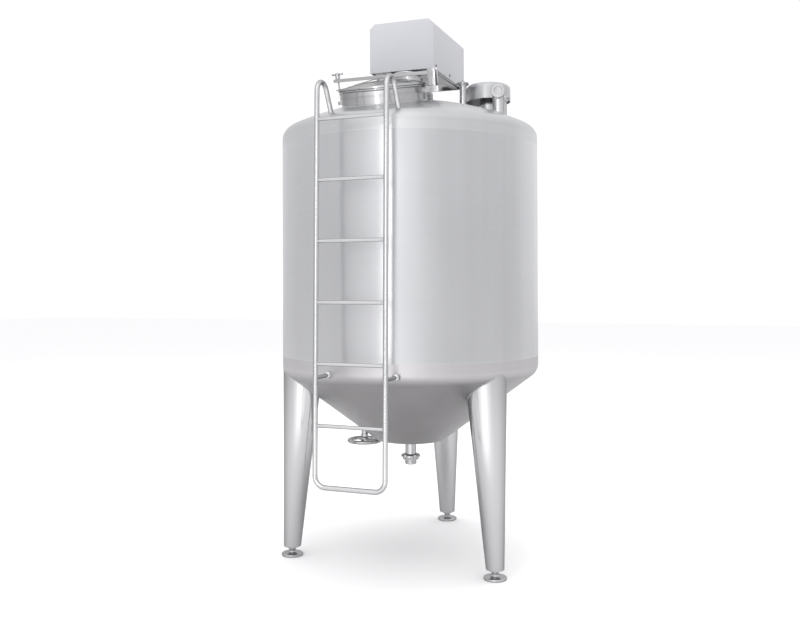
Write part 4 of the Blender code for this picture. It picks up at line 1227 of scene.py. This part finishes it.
class TANK_OT_hinge(bpy.types.Operator):
    """Make the lid's hinge: a two-eared bracket on the collar and its headed pin"""

    bl_idname = "tank.hinge"
    bl_label = "Lid hinge"

    def execute(self, context):
        low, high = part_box("hinge_bracket")
        pin = hinge_place()
        bracket = block("hinge_block", (low.x, -0.034, HINGE_LOW), (high.x, 0.034, HINGE_TOP), 0.0015, 3)
        clear = COLLAR_INNER + COLLAR_WALL + 0.0007
        subtract(bracket, start("cylinder", "collar_tool", vertices=160, radius=clear, depth=0.3))
        ears = []
        for near in (-0.0265, 0.0185):
            ear = block(
                "ear", (pin.x - 0.021, near, HINGE_TOP - 0.005), (pin.x + 0.021, near + 0.008, EAR_TOP), 0,
            )
            round_edges(ear, 0.009, lambda edge: spans(edge).y > 0.004
                        and edge.verts[0].co.z > pin.z and edge.verts[0].co.x > pin.x)
            soften(ear, 0.0009, 2)
            bore(ear, pin - ACROSS_HINGE, pin + ACROSS_HINGE, PIN_BORE)
            ears.append(ear)
        finish(lean(merge(*ears, bracket)), "hinge_bracket")

        half = 0.0305
        shaft = upright_lathe("hinge_pivot", [
            (0, 2 * half), (0.0050, 2 * half), (0.0058, 2 * half - 0.001), (0.0058, 0.0045),
            (0.0095, 0.0042), (0.0100, 0.0034), (0.0100, 0.0012), (0.0088, 0), (0, 0),
        ], pin - Vector((0, half, 0)), (0, 1, 0), steps=40)
        finish(lean(shaft), "hinge_pin", smooth=40)
        return {"FINISHED"}


FLANGE_BOLTS = 8
BOLT_CIRCLE = 0.113


class TANK_OT_drive(bpy.types.Operator):
    """Make the neck, the stool, the tray and the folded cover of the stirrer's drive"""

    bl_idname = "tank.drive"
    bl_label = "Drive cover"

    def flange_bolts(self, name, centre, height, way):
        """Eight bolts round the flanges, their heads upwards where way is 1 and downwards at -1."""
        head = screw_head(name, 0.0085, 0.0065, hex_socket=False)
        places = []
        for number in range(FLANGE_BOLTS):
            turn = math.tau * (number + 0.5) / FLANGE_BOLTS
            x, y = centre.x + BOLT_CIRCLE * math.cos(turn), centre.y + BOLT_CIRCLE * math.sin(turn)
            places.append((Vector((x, y, height)), (0, 0, way)))
        finish(copies(head, places))

    def execute(self, context):
        low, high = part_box("agitator_neck")
        centre = (low + high) / 2
        flange = (high.x - low.x) / 2
        pipe_out, thick = 0.085, 0.015
        wall = 0.006
        neck = lathe("roof_neck", [
            (pipe_out - wall, high.z), (flange - 0.001, high.z), (flange, high.z - 0.001),
            (flange, high.z - thick + 0.001), (flange - 0.001, high.z - thick),
            (pipe_out + wall, high.z - thick)]
            + arc((pipe_out + wall, high.z - thick - wall), wall, math.pi / 2, math.pi, 5)
            + [(pipe_out, TOP_TANGENT + 0.1), (pipe_out - wall, TOP_TANGENT + 0.1)])
        weld_on(neck, "neck_weld", 1.2, "agitator_neck")

        low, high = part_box("drive_stool")
        top_flange, waist, hole = 0.125, 0.075, 0.05
        stool = lathe("motor_stool", [
            (hole, high.z), (top_flange - 0.001, high.z), (top_flange, high.z - 0.001),
            (top_flange, high.z - thick + 0.001), (top_flange - 0.001, high.z - thick)]
            + arc((waist + 0.012, high.z - thick - 0.012), 0.012, math.pi / 2, math.pi, 6)
            + arc((waist + 0.012, low.z + thick + 0.012), 0.012, math.pi, math.pi * 1.5, 6)
            + [(flange - 0.001, low.z + thick), (flange, low.z + thick - 0.001), (flange, low.z + 0.001),
               (flange - 0.001, low.z), (hole, low.z)])
        finish(stool, "drive_stool")
        self.flange_bolts("stool_bolts", centre, low.z + thick, 1)
        self.flange_bolts("neck_nuts", centre, low.z - thick - 0.0003, -1)
        self.tray()
        self.cover(context.scene.tank_sizes.sheet_round)
        return {"FINISHED"}

    def tray(self):
        low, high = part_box("drive_tray")
        tray = block("base_tray", low, high, 0)
        edit(tray)
        choose(tray, "FACE", lambda face: face.normal.z > 0.9)
        bpy.ops.mesh.inset(thickness=0.005)
        push((0, 0, low.z + 0.005 - high.z))
        object_mode()
        soften(tray, 0.0015, 2)
        finish(tray, "drive_tray", look="legs_brushed")
        under = low.z - 0.0001
        ribs = []
        for x in (-0.14, 0.14):
            ribs.append(block(
                "tray_rib", (x - 0.02, low.y + 0.01, low.z - 0.0035), (x + 0.02, high.y - 0.01, under), 0.001,
            ))
        finish(merge(*ribs, name="tray_rails"), look="legs_brushed")

    def cover(self, fold):
        low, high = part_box("drive_cover")
        chamfer, sheet = 0.028, 0.003
        cover = block("motor_cover", low, high, 0)
        edit(cover)
        choose(cover, "EDGE", lambda edge: all(corner.co.z > high.z - 0.001 for corner in edge.verts)
               and spans(edge).x < 0.001)
        bpy.ops.mesh.bevel(offset=chamfer, segments=1, affect="EDGES")
        choose(cover, "FACE", lambda face: face.normal.z < -0.9)
        bpy.ops.mesh.delete(type="ONLY_FACE")
        object_mode()
        modify(cover, "BEVEL", width=fold, segments=3, limit_method="ANGLE", angle_limit=math.radians(30))
        edit(cover)
        choose(cover, "EDGE", lambda edge: edge.is_boundary)
        push((0, 0, -0.0001))
        bpy.ops.transform.resize(value=(0.955, 0.97, 1), center_override=(low + high) / 2)
        object_mode()
        modify(cover, "SOLIDIFY", thickness=sheet, offset=-1, use_even_offset=True)
        finish(cover, "drive_cover", look="cover_satin", smooth=30)

        middle = (low.y + high.y) / 2
        spread = 0.247
        head = screw_head("cover_screws", 0.0062, 0.0032)
        places = []
        for side in (-1, 1):
            for step in (-1, 0, 1):
                at = Vector((low.x if side < 0 else high.x, middle + spread * step, low.z + 0.021))
                places.append((at, (side, 0, 0)))
        finish(copies(head, places), look="screw_blackened")


class TANK_OT_nozzles(bpy.types.Operator):
    """Make the roof's nozzles: spray pipe, breather, filling elbow and sensor port"""

    bl_idname = "tank.nozzles"
    bl_label = "Roof nozzles"

    def execute(self, context):
        self.spray_pipe()
        self.breather()
        self.filling_elbow()
        self.sensor_port()
        return {"FINISHED"}

    def spray_pipe(self):
        low, high, at = place_of("wash_pipe")
        radius = 0.019
        stem = lathe("spray_pipe", [
            (radius - 0.002, high.z), (radius + 0.006, high.z), (radius + 0.006, high.z - 0.003)]
            + [(radius + 0.001, high.z - 0.008), (radius, high.z - 0.010)]
            + [(radius, TOP_TANGENT + 0.1), (radius - 0.002, TOP_TANGENT + 0.1)], at=at, steps=64)
        weld_on(stem, "spray_pipe_weld", 0.8, "wash_pipe", look="tube_polished")

        low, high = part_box("wash_pipe_cap")
        outer = (high.x - low.x) / 2
        seat = low.z
        cap = lathe("spray_pipe_clamp", below(high.z, [
            (0, 0), (0.004, 0.0005), (0.0075, 0.004), (0.0085, 0.009), (0.006, 0.012), (0.0095, 0.0145),
        ]) + [
            (outer - 0.008, seat + 0.014),
            (outer - 0.002, seat + 0.012), (outer, seat + 0.009), (outer - 0.0015, seat + 0.006),
            (outer - 0.0015, seat + 0.003), (outer, seat + 0.0015), (outer - 0.002, seat), (0, seat),
        ], at=at, steps=64)
        finish(cap, "wash_pipe_cap", smooth=30)
        place = Vector((at[0] - 0.030, at[1], seat + 0.006))
        self.wing_screw("spray_clamp_screw", place, Vector((-0.6, -0.8, 0)))

    def wing_screw(self, name, place, along):
        """The clamp's screw and its wing nut, beside the clamp."""
        screw = upright_lathe(name, [
            (0, 0.022), (0.0028, 0.0215), (0.0030, 0.012), (0.0058, 0.0115), (0.0068, 0.009),
            (0.0068, 0.0045), (0.0058, 0.002), (0.0030, 0.0015), (0.0030, -0.004), (0, -0.004),
        ], place, along, steps=32)
        across = Vector((0, 0, 1)).cross(along.normalized())
        for side in (-1, 1):
            wing = upright_lathe("wing", [
                (0, 0.0165), (0.0035, 0.0150), (0.0046, 0.0115), (0.0034, 0.0080), (0.0026, 0.004),
                (0, 0.004),
            ], place + along.normalized() * 0.007, across * side, steps=20)
            screw = merge(wing, screw)
        finish(screw, smooth=40)

    def breather(self):
        low, high, at = place_of("vent_hood")
        outer = (high.x - low.x) / 2
        neck_radius, sheet, corner = 0.045, 0.003, 0.03
        neck_top = high.z - sheet - 0.0003
        neck = lathe("breather_neck", [
            (0, neck_top), (neck_radius, neck_top), (neck_radius, TOP_TANGENT + 0.05),
            (neck_radius - sheet, TOP_TANGENT + 0.05), (neck_radius - sheet, neck_top - sheet),
            (0, neck_top - sheet),
        ], at=at, steps=72)
        trim(neck)
        window_low, window_high = low.z + 0.035, low.z + 0.075
        for wide, deep in ((0.1, 0.018), (0.018, 0.1)):
            near = (at[0] - wide, at[1] - deep, window_low)
            far = (at[0] + wide, at[1] + deep, window_high)
            subtract(neck, block("window", near, far, 0))
        weld_round(neck, "breather_weld", 1)
        finish(neck, "vent_neck")
        round_at = (outer - corner, high.z - corner)
        lip = 0.0022
        hood = lathe("breather_hood", [(0, high.z)] + arc(round_at, corner, math.pi / 2, 0, 10) + [
            (outer, low.z + 0.006), (outer + 0.0012, low.z + 0.005), (outer + 0.0012, low.z + lip),
            (outer, low.z + 0.0005), (outer - sheet, low.z),
        ] + arc(round_at, corner - sheet, 0, math.pi / 2, 10) + [(0, high.z - sheet)], at=at, steps=128)
        finish(hood, "vent_hood", look="roof_polished", smooth=30)

    def filling_elbow(self):
        joint = [mount for mount in frame["record"]["mounts"] if mount["name"] == "inlet_face"][0]
        face = Vector(joint["pos_m"])
        heading = Vector(joint["axis"]).normalized()
        radius, bend = 0.032, 0.042
        face_end = face - heading * 0.0157
        foot = face_end - heading * (bend + 0.012)
        foot.z = TOP_TANGENT + 0.05
        spring = Vector((foot.x, foot.y, face.z - bend))
        centre = spring + heading * bend
        axis = Vector((0, 0, 1)).cross(heading)
        elbow = pipe("filling_elbow", radius, foot, (0, 0, 1), [
            spring - foot, (centre, axis, math.pi / 2, 16), heading * 0.0118,
        ])
        weld_on(elbow, "filling_elbow_weld", 0.9, "inlet_elbow", look="tube_polished", smooth=40)
        rim = 0.037
        cap = upright_lathe("filling_cap", [
            (0, 0.0105), (0.019, 0.0105), (0.0215, 0.0115), (0.0225, 0.0155), (0.031, 0.0155),
            (0.035, 0.0145), (rim, 0.0120), (rim, 0.0050), (rim - 0.001, 0.0040), (rim - 0.001, 0.0015),
            (rim - 0.002, 0.0), (0, 0.0),
        ], face_end + heading * 0.0003, heading, steps=72)
        finish(cap, "inlet_cap", look="weld_brushed", smooth=30)

    def sensor_port(self):
        low, high, at = place_of("gauge_nozzle")
        outer, radius = (high.x - low.x) / 2, 0.0125
        port = lathe("sensor_port", below(high.z, [
            (0, 0.0015), (0.010, 0.0015), (0.011, 0), (outer - 0.006, 0), (outer - 0.001, 0.006),
            (outer, 0.009), (outer, 0.015), (outer - 0.0012, 0.0165), (outer, 0.018), (outer, 0.024),
            (outer - 0.001, 0.027), (outer - 0.006, 0.033), (radius, 0.034),
        ]) + [(radius, TOP_TANGENT + 0.05), (0, TOP_TANGENT + 0.05)], at=at, steps=64)
        weld_on(port, "sensor_port_weld", 0.7, "gauge_nozzle", smooth=30)
        place = Vector((at[0], at[1], high.z - 0.0165)) + Vector((0.8, -0.6, 0)) * (outer - 0.002)
        self.wing_screw("sensor_clamp_screw", place, Vector((0.6, 0.8, 0)))


class TANK_OT_outlet(bpy.types.Operator):
    """Make the bottom outlet and its slotted nut, and the drain's stem"""

    bl_idname = "tank.outlet"
    bl_label = "Outlet and drain"

    def execute(self, context):
        low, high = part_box("outlet_pipe")
        radius = high.x
        spout = lathe("outlet_spout", below(high.z, [
            (OUTLET_BORE, 0), (radius + 0.004, 0), (radius + 0.002, 0.003), (radius, 0.006),
        ]) + [
            (radius, low.z + 0.016), (radius + 0.0022, low.z + 0.014),
            (radius + 0.0022, low.z + 0.005), (radius + 0.001, low.z + 0.0035), (radius - 0.0012, low.z),
            (OUTLET_BORE, low.z),
        ], steps=72)
        finish(spout, "outlet_pipe", smooth=30)

        low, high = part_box("outlet_nut")
        outer, inner, slots = 0.055, 0.0335, 6
        middle = (low.z + high.z) / 2
        nut = lathe("slotted_nut", below(high.z, [
            (inner, 0), (outer - 0.012, 0), (outer - 0.007, 0.0015), (outer - 0.001, 0.006), (outer, 0.008),
        ]) + [
            (outer, middle + 0.001), (outer - 0.001, middle), (outer - 0.009, middle - 0.002),
            (outer - 0.010, low.z + 0.002),
            (outer - 0.012, low.z), (inner, low.z),
        ], steps=120)
        for number in range(slots):
            turn = math.radians(360 / slots * number + 15)
            x, y = outer * math.cos(turn), AXIS_Y + outer * math.sin(turn)
            bore(nut, (x, y, low.z - 0.01), (x, y, high.z + 0.01), 0.0075, 32)
        soften(nut, 0.0008, 2, 50)
        finish(nut, "outlet_nut")

        stem_low, _, at = place_of("drain_stem")
        hub_low, hub_high = wheel_hub()
        stem = lathe("drain_spindle", [
            (0, BOTTOM_TANGENT - 0.3), (0.018, BOTTOM_TANGENT - 0.3), (0.018, hub_high + 0.022),
            (0.0205, hub_high + 0.020), (0.0205, hub_high + 0.006), (0.018, hub_high + 0.0035),
            (0.018, hub_high + 0.0003), (0.007, hub_high + 0.0003), (0.007, hub_low - 0.0003),
            (0.012, hub_low - 0.0003), (0.012, stem_low.z + 0.002), (0.010, stem_low.z), (0, stem_low.z),
        ], at=at, steps=64)
        weld_on(stem, "drain_weld", 1, "drain_stem", smooth=30)
        return {"FINISHED"}


WHEEL_HUB_HEIGHT = 0.028


def wheel_hub():
    """The handwheel hub's lowest and highest height: the hub stands above the ring's top."""
    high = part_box("drain_handwheel")[1].z
    return high - WHEEL_HUB_HEIGHT, high


class TANK_OT_handwheel(bpy.types.Operator):
    """Make the drain valve's handwheel: a round rim, three spokes and a hub"""

    bl_idname = "tank.handwheel"
    bl_label = "Handwheel"

    def execute(self, context):
        low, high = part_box("drain_handwheel")
        centre = Vector(JOINTS["handwheel_turn"]["pos_m"])
        tube = 0.0105
        ring = (high.x - low.x) / 2 - tube
        rim = start(
            "torus", "hand_wheel", major_radius=ring, minor_radius=tube, major_segments=96,
            minor_segments=24, location=centre,
        )
        settle(rim)
        hub_low, hub_high = wheel_hub()
        hub = lathe("hub", [
            (0.0075, hub_high), (0.019, hub_high), (0.0215, hub_high - 0.0025),
            (0.022, hub_high - 0.008), (0.022, hub_low + 0.003), (0.020, hub_low), (0.0075, hub_low),
        ], at=(centre.x, centre.y), steps=48)
        rim = merge(hub, rim)
        for number in range(3):
            turn = math.radians(120 * number + 30)
            outwards = Vector((math.cos(turn), math.sin(turn), 0))
            spoke = upright_lathe("spoke", [
                (0, ring), (0.0058, ring), (0.0050, ring * 0.7), (0.0062, 0.02), (0, 0.02),
            ], centre, outwards, steps=24)
            rim = merge(spoke, rim)
        finish(rim, "drain_handwheel", body="handwheel", smooth=45)
        return {"FINISHED"}


# Stage

CAMERA_PLACE = (1.72588, -4.59404, 1.49512)
CAMERA_HEADING = 0.3664
CAMERA_PITCH = 0.00991
CAMERA_ROLL = -0.00335
IMAGE_WIDTH = 800
HORIZON_SHIFT = 31.43
WALL_LOW = (0.62, 0.62, 0.63)
WALL_HIGH = (0.98, 0.98, 0.99)
SCREEN_SIDE = 0.13
SCREEN_FOCUS = 7.0
SCREEN_LIGHT = 0.33
BACK_FROM = 0.45
BACK_LIGHT = 0.16
FLOOR_SEEN = (0.93, 0.93, 0.935)
# The floor as the steel reflects it: darker than the floor the camera sees, a painted shade in the
# reflections, and lighter ahead beyond FLOOR_FAR, a painted pool of light for the legs' highlights
FLOOR_MIRRORED = (0.6, 0.597, 0.6)
FLOOR_AHEAD = (0.95, 0.95, 0.95)
FLOOR_FAR = 1.6
FLOOR_FOCUS = 10.0
FLOOR_LIFT = (0.07, 0.07, 0.07)


def panel(name, place, target, size, power, colour=(1, 1, 1)):
    """A soft box that the camera doesn't see."""
    bpy.ops.object.light_add(type="AREA", location=place)
    light = bpy.context.object
    light.name = name
    light.data.shape = "RECTANGLE"
    light.data.size, light.data.size_y = size
    light.data.energy = power
    light.data.color = colour
    light.rotation_euler = (Vector(target) - Vector(place)).to_track_quat("-Z", "Y").to_euler()
    light.visible_camera = False
    return light


class TANK_OT_stage(bpy.types.Operator):
    """Set the pale floor, the soft boxes, the studio's walls and the camera"""

    bl_idname = "tank.stage"
    bl_label = "Stage"

    def floor(self):
        floor = start("plane", "studio_floor", size=60, location=(0, 0, -0.0005))
        made = bpy.data.materials.new("studio_floor")
        made.use_nodes = True
        tree = made.node_tree
        shader = tree.nodes["Principled BSDF"]
        shader.inputs["Roughness"].default_value = 0.9
        shader.inputs["Specular IOR Level"].default_value = 0.0
        path = node(tree, "LightPath")
        where = node(tree, "TexCoord")
        away = node(tree, "VectorMath", operation="LENGTH")
        tree.links.new(where.outputs["Object"], away.inputs[0])
        # Painted shade and a painted pool of light, seen only in reflections
        far = maths(tree, "MINIMUM", maths(tree, "MAXIMUM", maths(
            tree, "SUBTRACT", away.outputs["Value"], FLOOR_FAR), 0.0), 1.0)
        heading = node(tree, "VectorMath", operation="NORMALIZE")
        tree.links.new(where.outputs["Object"], heading.inputs[0])
        ahead = node(tree, "VectorMath", operation="DOT_PRODUCT")
        tree.links.new(heading.outputs["Vector"], ahead.inputs[0])
        ahead.inputs[1].default_value = (SCREEN_SIDE, -1, 0)
        facing = maths(tree, "POWER", maths(tree, "MAXIMUM", ahead.outputs["Value"], 0.0), FLOOR_FOCUS)
        mirrored = node(tree, "MixRGB", Color1=(*FLOOR_MIRRORED, 1), Color2=(*FLOOR_AHEAD, 1))
        tree.links.new(maths(tree, "MULTIPLY", far, facing), mirrored.inputs["Fac"])
        mixed = node(tree, "MixRGB", Color2=(*FLOOR_SEEN, 1))
        tree.links.new(mirrored.outputs["Color"], mixed.inputs["Color1"])
        tree.links.new(path.outputs["Is Camera Ray"], mixed.inputs["Fac"])
        tree.links.new(mixed.outputs["Color"], shader.inputs["Base Color"])
        lift = node(tree, "MixRGB", Color1=(0, 0, 0, 1), Color2=(*FLOOR_LIFT, 1))
        tree.links.new(path.outputs["Is Camera Ray"], lift.inputs["Fac"])
        tree.links.new(lift.outputs["Color"], shader.inputs["Emission Color"])
        shader.inputs["Emission Strength"].default_value = 1.0
        floor.data.materials.append(made)

    def world(self):
        """Grey walls that lighten upwards, with a soft bright screen in front of the tank."""
        world = bpy.data.worlds.new("studio")
        bpy.context.scene.world = world
        world.use_nodes = True
        tree = world.node_tree
        background = tree.nodes["Background"]
        where = node(tree, "TexCoord")
        parts = node(tree, "SeparateXYZ")
        tree.links.new(where.outputs["Generated"], parts.inputs[0])
        ramp = node(tree, "ValToRGB")
        tree.links.new(parts.outputs["Z"], ramp.inputs["Fac"])
        ramp.color_ramp.elements[0].position = 0.05
        ramp.color_ramp.elements[0].color = (*WALL_LOW, 1)
        ramp.color_ramp.elements[1].position = 0.8
        ramp.color_ramp.elements[1].color = (*WALL_HIGH, 1)
        ahead = maths(tree, "MULTIPLY_ADD", parts.outputs["X"], SCREEN_SIDE,
                      maths(tree, "MULTIPLY", parts.outputs["Y"], -1.0))
        level = maths(tree, "SQRT", maths(tree, "SUBTRACT", 1.0001, maths(
            tree, "MULTIPLY", parts.outputs["Z"], parts.outputs["Z"])))
        facing = maths(tree, "MAXIMUM", maths(tree, "DIVIDE", ahead, level), 0.0)
        screen = maths(tree, "MULTIPLY", maths(tree, "POWER", facing, SCREEN_FOCUS), SCREEN_LIGHT)
        behind = maths(tree, "MAXIMUM", maths(tree, "SUBTRACT", parts.outputs["Y"], BACK_FROM), 0.0)
        lights = maths(tree, "MULTIPLY_ADD", behind, BACK_LIGHT / (1 - BACK_FROM), screen)
        lit = node(tree, "VectorMath", operation="ADD")
        tree.links.new(ramp.outputs["Color"], lit.inputs[0])
        tree.links.new(lights, lit.inputs[1])
        path = node(tree, "LightPath")
        mixed = node(tree, "MixRGB", Color2=(1.05, 1.05, 1.05, 1))
        tree.links.new(path.outputs["Is Camera Ray"], mixed.inputs["Fac"])
        tree.links.new(lit.outputs["Vector"], mixed.inputs["Color1"])
        tree.links.new(mixed.outputs["Color"], background.inputs["Color"])

    def camera(self, lens):
        bpy.ops.object.camera_add()
        camera = bpy.context.object
        camera.data.lens = lens
        camera.data.sensor_width = 36
        camera.data.shift_y = -HORIZON_SHIFT / IMAGE_WIDTH
        camera.data.clip_end = 200
        ahead = Vector((
            -math.sin(CAMERA_HEADING) * math.cos(CAMERA_PITCH),
            math.cos(CAMERA_HEADING) * math.cos(CAMERA_PITCH), math.sin(CAMERA_PITCH),
        ))
        right = Vector((math.cos(CAMERA_HEADING), math.sin(CAMERA_HEADING), 0))
        upwards = right.cross(ahead)
        rolled_right = right * math.cos(CAMERA_ROLL) + upwards * math.sin(CAMERA_ROLL)
        rolled_up = rolled_right.cross(ahead)
        turn = Matrix((rolled_right, rolled_up, -ahead)).transposed().to_4x4()
        camera.matrix_world = Matrix.Translation(CAMERA_PLACE) @ turn
        bpy.context.scene.camera = camera

    def execute(self, context):
        object_mode()
        self.floor()
        self.world()
        middle = (0, AXIS_Y, 1.4)
        panel("front_box", (0.35, -7.5, 1.7), middle, (0.5, 4.4), 27)
        overhead = panel("overhead_box", (0, 0, 7.0), (0, 0, 0), (9.0, 9.0), 350)
        overhead.visible_glossy = False
        self.camera(context.scene.tank_sizes.lens)
        context.scene.view_settings.view_transform = "Standard"
        context.scene.view_settings.look = "None"
        return {"FINISHED"}


OPERATORS = (
    TANK_OT_vessel, TANK_OT_legs, TANK_OT_feet, TANK_OT_ladder, TANK_OT_manway, TANK_OT_lid, TANK_OT_clamp,
    TANK_OT_hinge, TANK_OT_drive, TANK_OT_nozzles, TANK_OT_outlet, TANK_OT_handwheel, TANK_OT_stage,
)


class TANK_PT_pieces(bpy.types.Panel):
    """The tank's pieces, in the order in which they are made"""

    bl_label = "Process tank"
    bl_idname = "TANK_PT_pieces"
    bl_space_type = "VIEW_3D"
    bl_region_type = "UI"
    bl_category = "Tank"

    def draw(self, context):
        column = self.layout.column(align=True)
        for group in (context.scene.tank_sizes, context.scene.tank_finishes):
            for name in group.__annotations__:
                column.prop(group, name)
        for kind in OPERATORS:
            column.operator(kind.bl_idname)


CLASSES = (TankSizes, TankFinishes) + OPERATORS + (TANK_PT_pieces,)


def register():
    for kind in CLASSES:
        bpy.utils.register_class(kind)
    bpy.types.Scene.tank_sizes = PointerProperty(type=TankSizes)
    bpy.types.Scene.tank_finishes = PointerProperty(type=TankFinishes)


def unregister():
    del bpy.types.Scene.tank_finishes
    del bpy.types.Scene.tank_sizes
    for kind in reversed(CLASSES):
        bpy.utils.unregister_class(kind)


def main():
    register()
    for kind in OPERATORS:
        getattr(bpy.ops.tank, kind.bl_idname.split(".")[1])()
    blank = bpy.data.objects.get("vessel_blank")
    if blank:
        bpy.data.objects.remove(blank)


if __name__ == "__main__":
    main()
